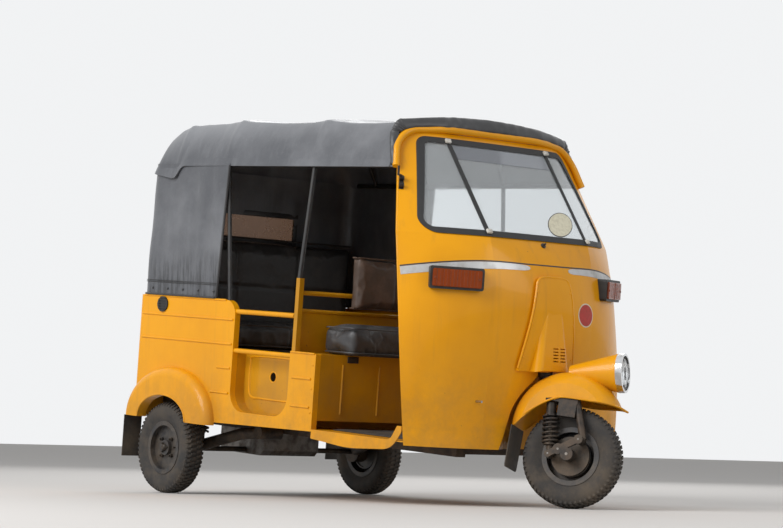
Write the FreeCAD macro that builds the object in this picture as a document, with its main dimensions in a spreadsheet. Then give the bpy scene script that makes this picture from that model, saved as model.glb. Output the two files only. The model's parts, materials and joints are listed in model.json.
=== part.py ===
"""Three-wheeled auto rickshaw, in millimetres.

The body is drawn level in its own frame: x forward from the rear axle, y to the left, z up.
The carrier "Sprung" then sets it on its wheels, a few degrees nose down on its tired front
spring. The carrier "Steered" turns the fork, its fender and the handlebar about the raked
steering axis. The finished part has +x forward, +z up and stands on z = 0.
"""
import FreeCAD, Part
import math
import os
import re
from FreeCAD import Placement, Rotation, Vector

SIZES = [
    # alias, value, what it measures
    ("rear_axle_x", -944.3, "rear axle, along the finished part"),
    ("wheelbase", 2000, "rear axle to front axle"),
    ("rear_track", 1162, "between the middles of the rear tyres"),
    ("tyre_radius", 206, "tyre, outer radius"),
    ("tyre_width", 100, "tyre, width of its section"),
    ("rim_radius", 104, "rim barrel, outer radius"),
    ("rim_width", 84, "rim, over its two flanges"),
    ("rim_flange", 16, "rim flange, height over the barrel"),
    ("axle_radius", 12, "wheel axles"),
    ("nose_down", 4, "pitch of the body on its springs, in degrees"),
    ("axle_in_body", 224, "rear axle, height in the body frame"),
    ("front_axle_in_body", 365.2, "front axle, height in the body frame"),
    ("steering_rake", 22, "steering axis, lean back in the body frame, in degrees"),
    ("steering_turn", 32, "how far the fork stands turned to the left, in degrees"),
    ("axle_lead", 45, "front axle ahead of the steering axis"),
    ("wall", 3, "pressed sheet of the body"),
    ("flange", 28, "depth of the panels' return flanges"),
    ("seat_gap", 0.3, "running gap between seated pieces"),
    ("half_width", 600, "body side from the middle plane"),
    ("flare_half_width", 650, "rear fender flares from the middle plane"),
    ("body_rear", -305, "rear face of the body"),
    ("rear_corner", 34, "corner radius between rear face and sides"),
    ("panel_bottom", 351, "lower edge of the rear body"),
    ("panel_top", 910, "upper edge of the rear body"),
    ("column_top", 708, "top of the short column beside the driver's seat"),
    ("column_front", 1048, "front of the column and of the driver's seat box"),
    ("partition_x", 868, "partition behind the driver"),
    ("partition_top", 885, "top of the partition"),
    ("entry_rear", 452, "rear edge of the side entry"),
    ("entry_bottom", 424, "bottom of the step cut-out"),
    ("seat_riser_x", 330, "front of the passenger seat box"),
    ("seat_box_top", 700, "top of the passenger seat box"),
    ("arch_half_length", 189, "wheel arch, half its length at the panel edge"),
    ("arch_height", 110, "wheel arch above the panel edge"),
    ("flare_half_length", 329, "flare, half its length"),
    ("flare_height", 238, "flare, height over the panel edge"),
    ("flare_shift", 19, "flare, its middle ahead of the axle"),
    ("rib_radius", 5, "half-round swages on the panels"),
    ("upper_rib", 824, "height of the upper swage"),
    ("lower_rib", 716, "height of the lower swage"),
    ("floor_height", 386, "underside of the floor plate"),
    ("floor_plate", 4, "floor plate"),
    ("beam_half_gap", 240, "underframe beams, inner faces from the middle"),
    ("beam_width", 50, "underframe beams"),
    ("beam_depth", 56, "underframe beams"),
    ("cowl_bottom", 374, "lower edge of the front cowl"),
    ("cowl_waist", 700, "height where the cowl is widest"),
    ("lamp_height", 1060, "height of the front indicators"),
    ("screen_base", 1237, "height where the cowl turns to the windscreen"),
    ("header_height", 1668, "top of the windscreen frame"),
    ("cowl_half_width", 615, "cowl at the height of the indicators"),
    ("cowl_nose", 1828, "foremost point of the cowl"),
    ("header_half_width", 477, "windscreen frame, half its width at the top"),
    ("header_nose", 1406, "windscreen frame, foremost point at the top"),
    ("bar_half_gap", 277, "windscreen bars from the middle"),
    ("bar_width", 18, "windscreen bars"),
    ("door_foot", 1650, "rear edge of the cowl at its foot"),
    ("door_waist", 1517, "rear edge of the cowl at the windscreen's base"),
    ("door_head", 1328, "rear edge of the cowl at its top"),
    ("screen_bottom_half", 524, "windscreen opening, half its lower edge"),
    ("screen_top_half", 401, "windscreen opening, half its upper edge"),
    ("screen_low", 1250, "windscreen opening, lower edge"),
    ("screen_high", 1640, "windscreen opening, upper edge"),
    ("screen_corner", 45, "windscreen opening, corner radius"),
    ("seal_width", 16, "windscreen rubber inside the opening"),
    ("seal_lip", 8, "windscreen rubber over the panel"),
    ("glass", 5, "windscreen glass"),
    ("brow_radius", 15, "gutter roll round the windscreen frame"),
    ("cover_rise", 15, "nose cover over the cowl"),
    ("cover_bottom", 702, "nose cover, lower edge"),
    ("cover_top", 1090, "nose cover, upper edge"),
    ("cover_bottom_half", 150, "nose cover, half its lower edge"),
    ("cover_top_half", 84, "nose cover, half its upper edge"),
    ("bulge_reach", 1876, "steering bulge, foremost point"),
    ("hood_low", 1512, "canopy side rails, height"),
    ("hood_tube", 11, "canopy tubes, radius"),
    ("canopy_low", 1505, "lower edge of the canopy's sides"),
    ("canopy_top", 1740, "crown of the canopy"),
    ("canopy_front", 1400, "front edge of the canopy"),
    ("canopy_thickness", 6, "canopy cloth with its lining"),
    ("curtain_bottom", 914, "lower edge of the rear curtain"),
    ("curtain_front", 338, "front edge of the side curtains"),
    ("headlamp_radius", 80, "headlamp rim"),
    ("fender_radius", 238, "front fender crown, radius in side view"),
    ("fender_half_width", 97, "front fender, half its width"),
    ("fork_offset", 74, "fork leg, to the right of the wheel's middle"),
    ("column_radius", 20, "steering column"),
    ("handlebar_distance", 800, "handlebar, along the steering axis"),
    ("handlebar_half", 285, "handlebar, half its width"),
    ("grip_radius", 16, "handlebar grips"),
]

doc = FreeCAD.newDocument("AutoRickshaw")
sheet = doc.addObject("Spreadsheet::Sheet", "Sizes")
for row, (alias, value, meaning) in enumerate(SIZES, start=1):
    sheet.set(f"A{row}", meaning)
    sheet.set(f"B{row}", str(value))
    sheet.setAlias(f"B{row}", alias)
doc.recompute()
ALIASES = {alias for alias, _, _ in SIZES}
nodes = []


def size(alias):
    """Value of one named size."""
    return float(getattr(sheet, alias))


def bound(expression):
    """Expression with each alias pointed at the sheet."""
    return re.sub(r"[a-z_]+", lambda word: "Sizes." + word[0] if word[0] in ALIASES else word[0],
                  str(expression))


def tie(feature, **properties):
    """Bind properties to expressions; a double underscore stands for a dot."""
    for name, expression in properties.items():
        feature.setExpression(name.replace("__", "."), bound(expression))
    return feature


def box(name, x, y, z):
    """Block given by a start and a length along each axis."""
    block = doc.addObject("Part::Box", name)
    return tie(block, Placement__Base__x=x[0], Placement__Base__y=y[0], Placement__Base__z=z[0],
               Length=x[1], Width=y[1], Height=z[1])


def rod(name, start, radius, length, axis=Vector(0, 1, 0)):
    """Round bar from a start point along a fixed axis."""
    bar = doc.addObject("Part::Cylinder", name)
    bar.Placement = Placement(Vector(), Rotation(Vector(0, 0, 1), axis))
    return tie(bar, Placement__Base__x=start[0], Placement__Base__y=start[1],
               Placement__Base__z=start[2], Radius=radius, Height=length)


def feature(name, shape):
    """Shape that was worked out from the sheet in code."""
    item = doc.addObject("Part::Feature", name)
    item.Shape = shape
    return item


def fuse(name, *parts):
    """Union of several features."""
    item = doc.addObject("Part::MultiFuse", name)
    item.Shapes = list(parts)
    return item


def cut(name, base, *tools):
    """Base less one or more tools."""
    item = doc.addObject("Part::Cut", name)
    item.Base = base
    item.Tool = tools[0] if len(tools) == 1 else fuse(name + "Tools", *tools)
    return item


def common(name, base, tool):
    """What two features share."""
    item = doc.addObject("Part::Common", name)
    item.Base = base
    item.Tool = tool
    return item


def extrude(name, profile, direction, length):
    """Straight extrusion of a profile feature."""
    item = doc.addObject("Part::Extrusion", name)
    item.Base = profile
    item.DirMode = "Custom"
    item.Dir = direction
    item.Solid = True
    return tie(item, LengthFwd=length)


def revolve(name, profile, axis=Vector(0, 1, 0), centre=Vector()):
    """Full turn of a profile feature."""
    item = doc.addObject("Part::Revolution", name)
    item.Source = profile
    item.Axis = axis
    item.Base = centre
    item.Angle = 360
    item.Solid = True
    return item


def mirror(source):
    """The same feature on the other side of the middle plane."""
    item = doc.addObject("Part::Mirroring", source.Name + "Left")
    item.Source = source
    item.Normal = Vector(0, 1, 0)
    return item


def node(label, carrier, *parts):
    """Finished sub-part: its solids, set in place by its carrier."""
    item = doc.addObject("Part::Compound", "Node_" + label)
    item.Links = list(parts)
    item.Label = label
    item.setExpression("Placement", carrier.Name + ".Placement")
    nodes.append(item)
    return item


def outline(corners, place):
    """Closed wire through corners (a, b, radius); place turns a and b into a point."""
    points = [place(a, b) for a, b, _ in corners]
    starts, ends, arcs = [], [], []
    count = len(points)
    for i, (_, _, radius) in enumerate(corners):
        here = points[i]
        if radius <= 0:
            starts.append(here)
            ends.append(here)
            arcs.append(None)
            continue
        to_last = (points[i - 1] - here).normalize()
        to_next = (points[(i + 1) % count] - here).normalize()
        half_angle = to_last.getAngle(to_next) / 2
        inset = radius / math.tan(half_angle)
        inward = (to_last + to_next).normalize()
        middle = here + inward * (radius / math.sin(half_angle) - radius)
        starts.append(here + to_last * inset)
        ends.append(here + to_next * inset)
        arcs.append(Part.Arc(starts[-1], middle, ends[-1]).toShape())
    edges = []
    for i in range(count):
        if arcs[i]:
            edges.append(arcs[i])
        following = starts[(i + 1) % count]
        if ends[i].distanceToPoint(following) > 1e-6:
            edges.append(Part.makeLine(ends[i], following))
    return Part.Wire(edges)


def side_plane(y):
    """Placing function for outlines in side view."""
    return lambda a, b: Vector(a, y, b)


def front_plane(x):
    """Placing function for outlines in front view."""
    return lambda a, b: Vector(x, a, b)


def plan_plane(z):
    """Placing function for outlines in plan."""
    return lambda a, b: Vector(a, b, z)


def slab(corners, place, direction):
    """Solid swept from an outline along a vector."""
    return Part.Face(outline(corners, place)).extrude(direction)


def tube(start, end, radius, ball_ends=False):
    """Solid round bar between two points, with rounded ends where it turns."""
    run = end - start
    bar = Part.makeCylinder(radius, run.Length, start, run)
    if ball_ends:
        bar = bar.multiFuse([Part.makeSphere(radius, point) for point in (start, end)])
    return bar


def bent_tube(points, radius):
    """Round bar along straight runs with ball joints at the turns."""
    runs = [tube(a, b, radius) for a, b in zip(points, points[1:])]
    balls = [Part.makeSphere(radius, point) for point in points[1:-1]]
    return runs[0].multiFuse(runs[1:] + balls).removeSplitter()


def coil_stack(start, run, core, outer, turns, pitch):
    """Coil spring as a stack of vee-shaped rings round its core, along a unit vector."""
    points = [Vector(0, 0, 0), Vector(core, 0, 0)]
    for i in range(turns):
        points += [Vector(outer, 0, (i + 0.4) * pitch), Vector(outer, 0, (i + 0.6) * pitch), Vector(core, 0, (i + 1) * pitch)]
    points += [Vector(0, 0, turns * pitch), points[0]]
    spring = Part.Face(Part.makePolygon(points)).revolve(Vector(), Vector(0, 0, 1), 360)
    spring.Placement = Placement(start, Rotation(Vector(0, 0, 1), run))
    return spring


def swept_tube(corners, radius):
    """Bent tube along corners (point, bend radius), as one sweep."""
    edges, start = [], corners[0][0]
    for (last, _), (here, bend), (following, _) in zip(corners, corners[1:], corners[2:]):
        to_last, to_next = (last - here).normalize(), (following - here).normalize()
        half_angle = to_last.getAngle(to_next) / 2
        inset = bend / math.tan(half_angle)
        middle = here + (to_last + to_next).normalize() * (bend / math.sin(half_angle) - bend)
        edges += [Part.makeLine(start, here + to_last * inset),
                  Part.Arc(here + to_last * inset, middle, here + to_next * inset).toShape()]
        start = here + to_next * inset
    edges.append(Part.makeLine(start, corners[-1][0]))
    ring = Part.Wire(Part.makeCircle(radius, corners[0][0], corners[1][0] - corners[0][0]))
    return Part.Wire(edges).makePipeShell([ring], True, True)


wall = size("wall")
gap = size("seat_gap")
half = size("half_width")

# Carriers: where the level body, the steered fork and the wheels stand in the finished part
sprung = doc.addObject("Part::Vertex", "Sprung")
sprung.Placement = Placement(Vector(), Rotation(Vector(0, 1, 0), size("nose_down")))
tie(sprung, Placement__Rotation__Angle="nose_down * 1 deg",
    Placement__Base__x="rear_axle_x - axle_in_body * sin(nose_down * 1 deg)",
    Placement__Base__z="tyre_radius - axle_in_body * cos(nose_down * 1 deg)")
doc.recompute()

rake = math.radians(size("steering_rake"))
steering_axis = Vector(-math.sin(rake), 0, math.cos(rake))
steering_foot = Vector(size("wheelbase") - size("axle_lead"), 0, size("front_axle_in_body"))
steered = doc.addObject("Part::Vertex", "Steered")
steered.Placement = sprung.Placement.multiply(
    Placement(steering_foot, Rotation(steering_axis, size("steering_turn"))))
front_hub = doc.addObject("Part::Vertex", "FrontHub")
front_hub.Placement = steered.Placement.multiply(Placement(Vector(size("axle_lead"), 0, 0), Rotation()))
right_hub = doc.addObject("Part::Vertex", "RightHub")
tie(right_hub, Placement__Base__x="rear_axle_x", Placement__Base__y="-rear_track / 2",
    Placement__Base__z="tyre_radius")
left_hub = doc.addObject("Part::Vertex", "LeftHub")
tie(left_hub, Placement__Base__x="rear_axle_x", Placement__Base__y="rear_track / 2",
    Placement__Base__z="tyre_radius")


# Front cowl: a skin lofted through plan sections, open at the doors, the floor and the top

def cowl_sections():
    """Rows of height, half width, x of the side's middle, x at the bars and x of the nose."""
    nose, width = size("cowl_nose"), size("cowl_half_width")
    head = size("header_nose")
    return [
        (size("cowl_bottom"), width - 15, nose - 96, nose - 61, nose - 38),
        (size("cowl_waist"), width + 7, nose - 106, nose - 46, nose - 16),
        (size("lamp_height"), width, nose - 123, nose - 46, nose),
        (size("screen_base"), width - 10, nose - 188, nose - 93, nose - 82),
        (size("header_height"), size("header_half_width"), head - 33, head - 8, head),
    ]


COWL_BACK = 1150


def beyond(row, last, extra):
    """Section past an end row, on the straight line from the row before it."""
    share = extra / abs(row[0] - last[0])
    return tuple(here + (here - before) * share for here, before in zip(row, last))


def cowl_wire(section, grow):
    """Plan section of the cowl, grown outwards by some millimetres."""
    z, width, side_x, bar_x, nose_x = section
    bar_y = size("bar_half_gap")
    door_x = door_line_x(z) - 4
    width += grow
    side_y = (width + bar_y) / 2
    right = [Vector(door_x, -width, z), Vector(side_x + grow, -side_y, z), Vector(bar_x + grow, -bar_y, z)]
    left = [Vector(p.x, -p.y, z) for p in reversed(right)]
    nose = Vector(nose_x + grow, 0, z)
    back_right, back_left = Vector(COWL_BACK, -width, z), Vector(COWL_BACK, width, z)
    return Part.Wire([
        Part.makeLine(back_left, back_right),
        Part.makeLine(back_right, right[0]),
        Part.Arc(*right).toShape(),
        Part.Arc(right[2], nose, left[0]).toShape(),
        Part.Arc(*left).toShape(),
        Part.makeLine(left[2], back_left),
    ])


def door_line_x(z):
    """Rear edge of the cowl at a height, in side view."""
    low, waist, high = size("cowl_bottom"), size("screen_base"), size("header_height")
    foot, middle, head = size("door_foot"), size("door_waist"), size("door_head")
    if z >= waist:
        return middle + (head - middle) * (z - waist) / (high - waist)
    share = (z - low) / (waist - low)
    return foot + (middle - foot) * (0.35 * share + 0.65 * share * share)


def cowl_block(grow, extra=0.0):
    """Solid inside the cowl's skin; extra lengthens it past its top and bottom."""
    rows = cowl_sections()
    lowest = beyond(rows[0], rows[1], extra)
    highest = beyond(rows[4], rows[3], extra)
    lower = [cowl_wire(row, grow) for row in (lowest, *rows[1:4])]
    upper = [cowl_wire(row, grow) for row in (rows[3], highest)]
    return Part.makeLoft(lower, True, False).fuse(Part.makeLoft(upper, True, True))


def wheel_well(grow):
    """Room swept by the steered fork, fender and column, about the steering axis."""
    profile = [(-160, 0), (-160, 260), (60, 260), (120, 224), (188, 190), (220, 174), (250, 152), (280, 124), (306, 93),
               (328, 62), (352, 34)]
    points = [Vector(radius + grow if radius else 0, 0, along) for along, radius in profile]
    end = 445 - grow * 4
    points += [Vector(34 + grow, 0, end), Vector(0, 0, end), points[0]]
    room = Part.Face(Part.makePolygon(points)).revolve(Vector(), Vector(0, 0, 1), 360)
    room.Placement = Placement(steering_foot, Rotation(Vector(0, 0, 1), steering_axis))
    return room


def behind_doors():
    """Everything behind the cowl's rear edge."""
    low, waist, high = size("cowl_bottom"), size("screen_base"), size("header_height")
    middle = (low + waist) / 2
    side = side_plane(-800)
    edge = Part.Arc(side(door_line_x(low), low), side(door_line_x(middle), middle),
                    side(size("door_waist"), waist)).toShape()
    far = COWL_BACK - 100
    ring = [side(size("door_waist"), waist), side(size("door_head"), high),
            side(size("door_head"), high + 200), side(far, high + 200), side(far, low - 200),
            side(size("door_foot"), low - 200), side(size("door_foot"), low)]
    lines = [Part.makeLine(a, b) for a, b in zip(ring, ring[1:])]
    return Part.Face(Part.Wire([edge] + lines)).extrude(Vector(0, 1600, 0))


def screen_prism(inset):
    """Windscreen opening drawn inwards by an inset and run through the front."""
    low, high = size("screen_low") + inset, size("screen_high") - inset
    wide, narrow, corner = size("screen_bottom_half") - inset, size("screen_top_half") - inset, size("screen_corner")
    corner = max(corner - inset, 5)
    corners = [(-wide, low, corner), (wide, low, corner), (narrow, high, corner), (-narrow, high, corner)]
    return slab(corners, front_plane(COWL_BACK + 60), Vector(size("cowl_nose") - COWL_BACK + 140, 0, 0))


cowl_outer = cowl_block(0)


GUTTER_FOOT = 1508


def gutter(radius):
    """Roll up one pillar of the windscreen frame, across its top and down the other."""
    pillar = size("header_half_width") + 9
    foot = Vector(door_line_x(GUTTER_FOOT) + 10, -pillar - 46, GUTTER_FOOT)
    corner = Vector(size("door_head") + 16, -pillar, size("header_height") - 2)
    bar = Vector(size("header_nose") - 2, 7 - size("bar_half_gap"), size("header_height") + 16)
    right = [(foot, 0), (corner, 130), (bar, 400)]
    left = [(Vector(point.x, -point.y, point.z), bend) for point, bend in reversed(right)]
    return swept_tube(right + left, radius)


def frame_face():
    """Block that rounds the cowl's upper corners off inside the gutter roll."""
    pillar, top = size("header_half_width") + 9, size("header_height")
    right = [(740, 200, 0), (740, 1300, 0), (pillar + 47, GUTTER_FOOT, 0), (pillar, top, 128), (270, top + 18, 300)]
    left = [(-y, z, bend) for y, z, bend in reversed(right)]
    return slab(right + left, front_plane(COWL_BACK - 100), Vector(1200, 0, 0))


def skin_band(outward, inward):
    """Layer of the windscreen's face between two distances along x from the cowl's skin."""
    outer, inner = cowl_outer.copy(), cowl_outer.copy()
    outer.translate(Vector(outward, 0, 0))
    inner.translate(Vector(inward, 0, 0))
    return outer.cut(inner)


cowl_skin = cowl_outer.cut(wheel_well(0)).cut(cowl_block(-wall, 12).cut(wheel_well(wall)))
gutter_room = gutter(size("brow_radius") + gap)
cowl_shape = cowl_skin.cut(behind_doors()).cut(screen_prism(0)).common(frame_face()).cut(gutter_room)
cowl = feature("CowlSkin", cowl_shape)
node("cowl", sprung, cowl)

seal = skin_band(6, -8).common(screen_prism(-gap)).cut(screen_prism(size("seal_width")))
seal = seal.cut(cowl_shape)
lip = skin_band(6, gap).common(screen_prism(-size("seal_lip"))).cut(screen_prism(0))
glass_shape = skin_band(-1, -1 - size("glass")).common(screen_prism(size("seal_width") + gap))
bars = []
for side in (-1, 1):
    strip = Part.makeBox(900, size("bar_width"), 500,
                         Vector(COWL_BACK, side * size("bar_half_gap") - size("bar_width") / 2, size("screen_base")))
    bars.append(skin_band(5, -1 + gap).common(strip).common(screen_prism(size("seal_width") - 1)))
node("screen_seal", sprung, feature("ScreenSeal", seal.multiFuse([lip] + bars)))
node("screen_glass", sprung, feature("ScreenGlass", glass_shape))

node("header_brow", sprung, feature("Gutter", gutter(size("brow_radius"))))

# Steering head: the tube that carries the column, seated in the top of the wheel well
HEAD_START, HEAD_LENGTH, HEAD_RADIUS = 368, 158, 34
head_tube = Part.makeCylinder(HEAD_RADIUS - gap, HEAD_LENGTH, steering_foot + steering_axis * HEAD_START, steering_axis)
head_tube = head_tube.cut(Part.makeCylinder(size("column_radius") + gap, HEAD_LENGTH + 20,
                                            steering_foot + steering_axis * (HEAD_START - 10), steering_axis))
node("steering_head", sprung, feature("SteeringHead", head_tube))

# Nose cover with the steering bulge and its vent slots
cover_prism = slab(
    [(-size("cover_bottom_half"), size("cover_bottom"), 0), (size("cover_bottom_half"), size("cover_bottom"), 0),
     (size("cover_top_half"), size("cover_top"), 34), (-size("cover_top_half"), size("cover_top"), 34)],
    front_plane(size("cowl_nose") - 160), Vector(260, 0, 0))
raised = cowl_outer.copy()
raised.translate(Vector(size("cover_rise"), 0, 0))
seated = cowl_outer.copy()
seated.translate(Vector(gap, 0, 0))
bulge_top = size("cover_top") - 45
bulge = Part.makeLoft([
    outline([(-92, 0, 30), (92, 0, 30), (92, -200, 0), (-92, -200, 0)],
            lambda a, b: Vector(size("bulge_reach") + b, a, size("cover_bottom"))),
    outline([(-42, 0, 22), (42, 0, 22), (42, -200, 0), (-42, -200, 0)],
            lambda a, b: Vector(size("bulge_reach") - 30 + b, a, bulge_top)),
], True, True)
fender_room = Part.makeCylinder(170, 348, steering_foot, steering_axis)
column_room = Part.makeCylinder(HEAD_RADIUS + 3, 560, steering_foot, steering_axis)
cover_shape = raised.common(cover_prism).fuse(bulge).cut(seated).cut(wheel_well(6)).cut(fender_room).cut(column_room)
SLOT_ROWS, SLOT_PITCH = 5, 13
slots = [Part.makeBox(60, 30, 5, Vector(size("bulge_reach") - 22, y, size("cover_bottom") + 44 + i * SLOT_PITCH))
         for i in range(SLOT_ROWS) for y in (-8, 32)]
cover_shape = cover_shape.cut(slots[0].multiFuse(slots[1:]))
node("nose_cover", sprung, feature("NoseCover", cover_shape))

# Front indicators on the shoulders of the cowl
INDICATOR_LENGTH, INDICATOR_HEIGHT, INDICATOR_DEPTH, INDICATOR_TURN = 224, 92, 34, 31
indicator_seat = Vector(size("cowl_nose") - 113, -(size("cowl_half_width") - 185), size("lamp_height"))


def on_shoulder(shape):
    """Set a shape that faces +x on the right-hand shoulder of the cowl."""
    shape.Placement = Placement(indicator_seat, Rotation(Vector(0, 0, 1), -INDICATOR_TURN))
    return shape


def lamp_block(length, height, start, depth, corner):
    """Rounded block for a lamp, from a start distance outwards."""
    a, b = length / 2, height / 2
    return slab([(-a, -b, corner), (a, -b, corner), (a, b, corner), (-a, b, corner)],
                front_plane(start), Vector(depth, 0, 0))


housing = lamp_block(INDICATOR_LENGTH, INDICATOR_HEIGHT, -46, 46 + INDICATOR_DEPTH - 8, 10)
recess = lamp_block(INDICATOR_LENGTH - 20, INDICATOR_HEIGHT - 20, INDICATOR_DEPTH - 16, 20, 6)
lens = lamp_block(INDICATOR_LENGTH - 21, INDICATOR_HEIGHT - 21, INDICATOR_DEPTH - 16 + gap, 16, 6)
indicator = feature("IndicatorRight", on_shoulder(housing.cut(recess)).cut(seated))
indicator_lens = feature("IndicatorLensRight", on_shoulder(lens))
node("indicator_housings", sprung, indicator, mirror(indicator))
node("indicator_lenses", sprung, indicator_lens, mirror(indicator_lens))

# Floor pan: plate with side flanges, trimmed to the inside of the cowl
floor_low, floor_top = size("floor_height"), size("floor_height") + size("floor_plate")
floor_blank = Part.makeBox(size("cowl_nose") - size("seat_riser_x"), 2 * (half - wall - gap), size("floor_plate"),
                           Vector(size("seat_riser_x"), -(half - wall - gap), floor_low))
front_blank = Part.makeBox(400, 1400, 200, Vector(size("door_foot") - 60, -700, floor_low - 100))
inside_cowl = cowl_block(-wall - gap, 12)
floor_shape = floor_blank.cut(front_blank.cut(inside_cowl)).cut(wheel_well(wall + gap))
sill_start = size("column_front") + gap
sill_end = size("door_foot")
sills = []
for side in (-1, 1):
    inner_face = side * (half - wall - gap)
    sills.append(slab([(sill_start, floor_top, 0), (sill_start, floor_low - 34, 0), (sill_start + 250, floor_low - 53, 900),
                       (sill_end - 70, floor_low - 34, 120), (sill_end - 12, floor_low + 40, 20), (sill_end - 12, floor_top + 60, 0),
                       (sill_end - 40, floor_top + 60, 0), (sill_end - 80, floor_top, 40)],
                      side_plane(inner_face), Vector(0, side * (wall + gap), 0)))
flange_rooms = [Part.makeBox(4, size("flange") + 1, 40, Vector(size("column_front") - wall - gap, y, floor_low - 20))
                for y in (-half, half - size("flange") - 1)]
floor_shape = floor_shape.multiFuse(sills).cut(cowl_shape).cut(flange_rooms[0].fuse(flange_rooms[1])).removeSplitter()
node("floor_pan", sprung, feature("FloorPan", floor_shape))

# Underframe: two long beams and the cross members that carry engine and arms
ARM_PIVOT_X, ARM_PIVOT_Z = 430, 330
beams = [box("BeamRight", ("body_rear + 40", "door_foot - body_rear - 60"), ("-beam_half_gap - beam_width", "beam_width"),
             ("floor_height - beam_depth - seat_gap", "beam_depth")),
         box("BeamLeft", ("body_rear + 40", "door_foot - body_rear - 60"), ("beam_half_gap", "beam_width"),
             ("floor_height - beam_depth - seat_gap", "beam_depth"))]
for index, x in enumerate((140.3, ARM_PIVOT_X - 25, 1000, 1500)):
    beams.append(box(f"CrossMember{index}", (x, 50 if index else 40), ("-beam_half_gap - 1", "2 * beam_half_gap + 2"),
                     ("floor_height - beam_depth - seat_gap + 6", "beam_depth - 6")))
node("underframe", sprung, fuse("Underframe", *beams))


# Rear body: pressed side panels with return flanges, rear face, seat box and partition

def pressed_panel(corners, y, depth, thickness):
    """Tray pressed from sheet: face at y, flanges of a depth towards the middle plane."""
    direction = Vector(0, depth, 0)
    block = Part.Face(outline(corners, side_plane(y))).extrude(direction)
    inner = outline(corners, side_plane(y + math.copysign(thickness, depth))).makeOffset2D(-thickness)
    return block.cut(Part.Face(inner).extrude(direction))


def ellipse_prism(centre_x, centre_z, length, height, y, depth):
    """Elliptical block across the body, length and height being its half axes."""
    wire = Part.Wire(Part.Ellipse(Vector(), max(length, height), min(length, height)).toShape())
    upright = Rotation(Vector(0, 1, 0), 90 if height > length else 0)
    wire.Placement = Placement(Vector(centre_x, y, centre_z), upright.multiply(Rotation(Vector(1, 0, 0), 90)))
    return Part.Face(wire).extrude(Vector(0, depth, 0))


low, top = size("panel_bottom"), size("panel_top")
entry_rear, entry_low = size("entry_rear"), size("entry_bottom")
panel_corners = [
    (size("body_rear") + size("rear_corner"), low, 0), (size("column_front"), low + 30, 0),
    (size("column_front"), size("column_top"), 6), (size("partition_x"), size("column_top"), 6),
    (size("partition_x"), entry_low, 95), (entry_rear, entry_low, 95),
    (entry_rear, top, 70), (size("body_rear") + size("rear_corner"), top, 0),
]
arch = ellipse_prism(0, low, size("arch_half_length"), size("arch_height"), -half - 200, 400)
arch_room = ellipse_prism(0, low, size("arch_half_length") + 3, size("arch_height") + 3, -half - 10, 300)
panel = pressed_panel(panel_corners, -half, size("flange"), wall).cut(arch_room)


def swage(x_start, x_end, z):
    """Half-round rib pressed into a side panel."""
    return tube(Vector(x_start, -half, z), Vector(x_end, -half, z), size("rib_radius"))


rib_rear = size("body_rear") + size("rear_corner") + 8
ribs = [swage(rib_rear, entry_rear - 12, size("upper_rib")), swage(rib_rear, entry_rear - 12, size("lower_rib")),
        swage(entry_rear - 110, entry_rear - 14, 610), swage(entry_rear - 150, entry_rear - 14, 500),
        swage(size("partition_x") + 24, size("column_front") - 24, 600),
        swage(size("partition_x") + 24, size("column_front") - 24, 480)]
behind_face = Part.makeBox(2000, 100, 1000, Vector(-400, -half + wall, 200))
panel = panel.multiFuse([rib.cut(behind_face) for rib in ribs])


def tray_block(grow, start, depth):
    """Block behind the step cut-out in the right-hand panel, grown by some millimetres."""
    rear, front = entry_rear - grow, size("partition_x") - gap - wall + grow
    return slab([(rear, 690, 0), (rear, entry_low - grow, 95 + grow), (front, entry_low - grow, 95 + grow), (front, 690, 0)],
                side_plane(start), Vector(0, depth, 0))


TRAY_DEPTH = 50
tray_start = -half + size("flange") + gap
recess_tray = tray_block(wall, tray_start, TRAY_DEPTH).cut(tray_block(0, tray_start - 5, TRAY_DEPTH + 5 - wall))
drain = Part.makeCylinder(20, 20, Vector((entry_rear + size("partition_x")) / 2, tray_start + TRAY_DEPTH - 10, 588),
                          Vector(0, 1, 0))
right_panel = feature("SidePanelRight", panel)
node("side_panel_right", sprung, right_panel)
node("side_panel_left", sprung, mirror(right_panel))
node("step_recess", sprung, feature("StepRecess", recess_tray.cut(drain)))

rear_x, corner = size("body_rear"), size("rear_corner")
rear_wrap = slab([(rear_x + corner - gap, -half, 0), (rear_x, -half, corner - 4), (rear_x, half, corner - 4),
                  (rear_x + corner - gap, half, 0), (rear_x + corner - gap, half - wall, 0),
                  (rear_x + wall, half - wall, corner - 7), (rear_x + wall, -half + wall, corner - 7),
                  (rear_x + corner - gap, -half + wall, 0)],
                 plan_plane(low), Vector(0, 0, top - low))
DOOR_HALF, DOOR_LOW, DOOR_HIGH = 400, 400, 720
door_hole = slab([(-DOOR_HALF, DOOR_LOW, 20), (DOOR_HALF, DOOR_LOW, 20), (DOOR_HALF, DOOR_HIGH, 20),
                  (-DOOR_HALF, DOOR_HIGH, 20)], front_plane(rear_x - 50), Vector(100, 0, 0))
node("rear_panel", sprung, feature("RearPanel", rear_wrap.cut(door_hole)))
door = slab([(-DOOR_HALF + gap, DOOR_LOW + gap, 20), (DOOR_HALF - gap, DOOR_LOW + gap, 20),
             (DOOR_HALF - gap, DOOR_HIGH - gap, 20), (-DOOR_HALF + gap, DOOR_HIGH - gap, 20)],
            front_plane(rear_x - 4), Vector(4 + wall, 0, 0))
LOUVRES = 6
louvres = [Part.makeBox(60, 560, 10, Vector(rear_x - 30, -280, DOOR_LOW + 60 + i * 36)) for i in range(LOUVRES)]
node("engine_cover", sprung, feature("EngineCover", door.cut(louvres[0].multiFuse(louvres[1:]))))

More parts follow.
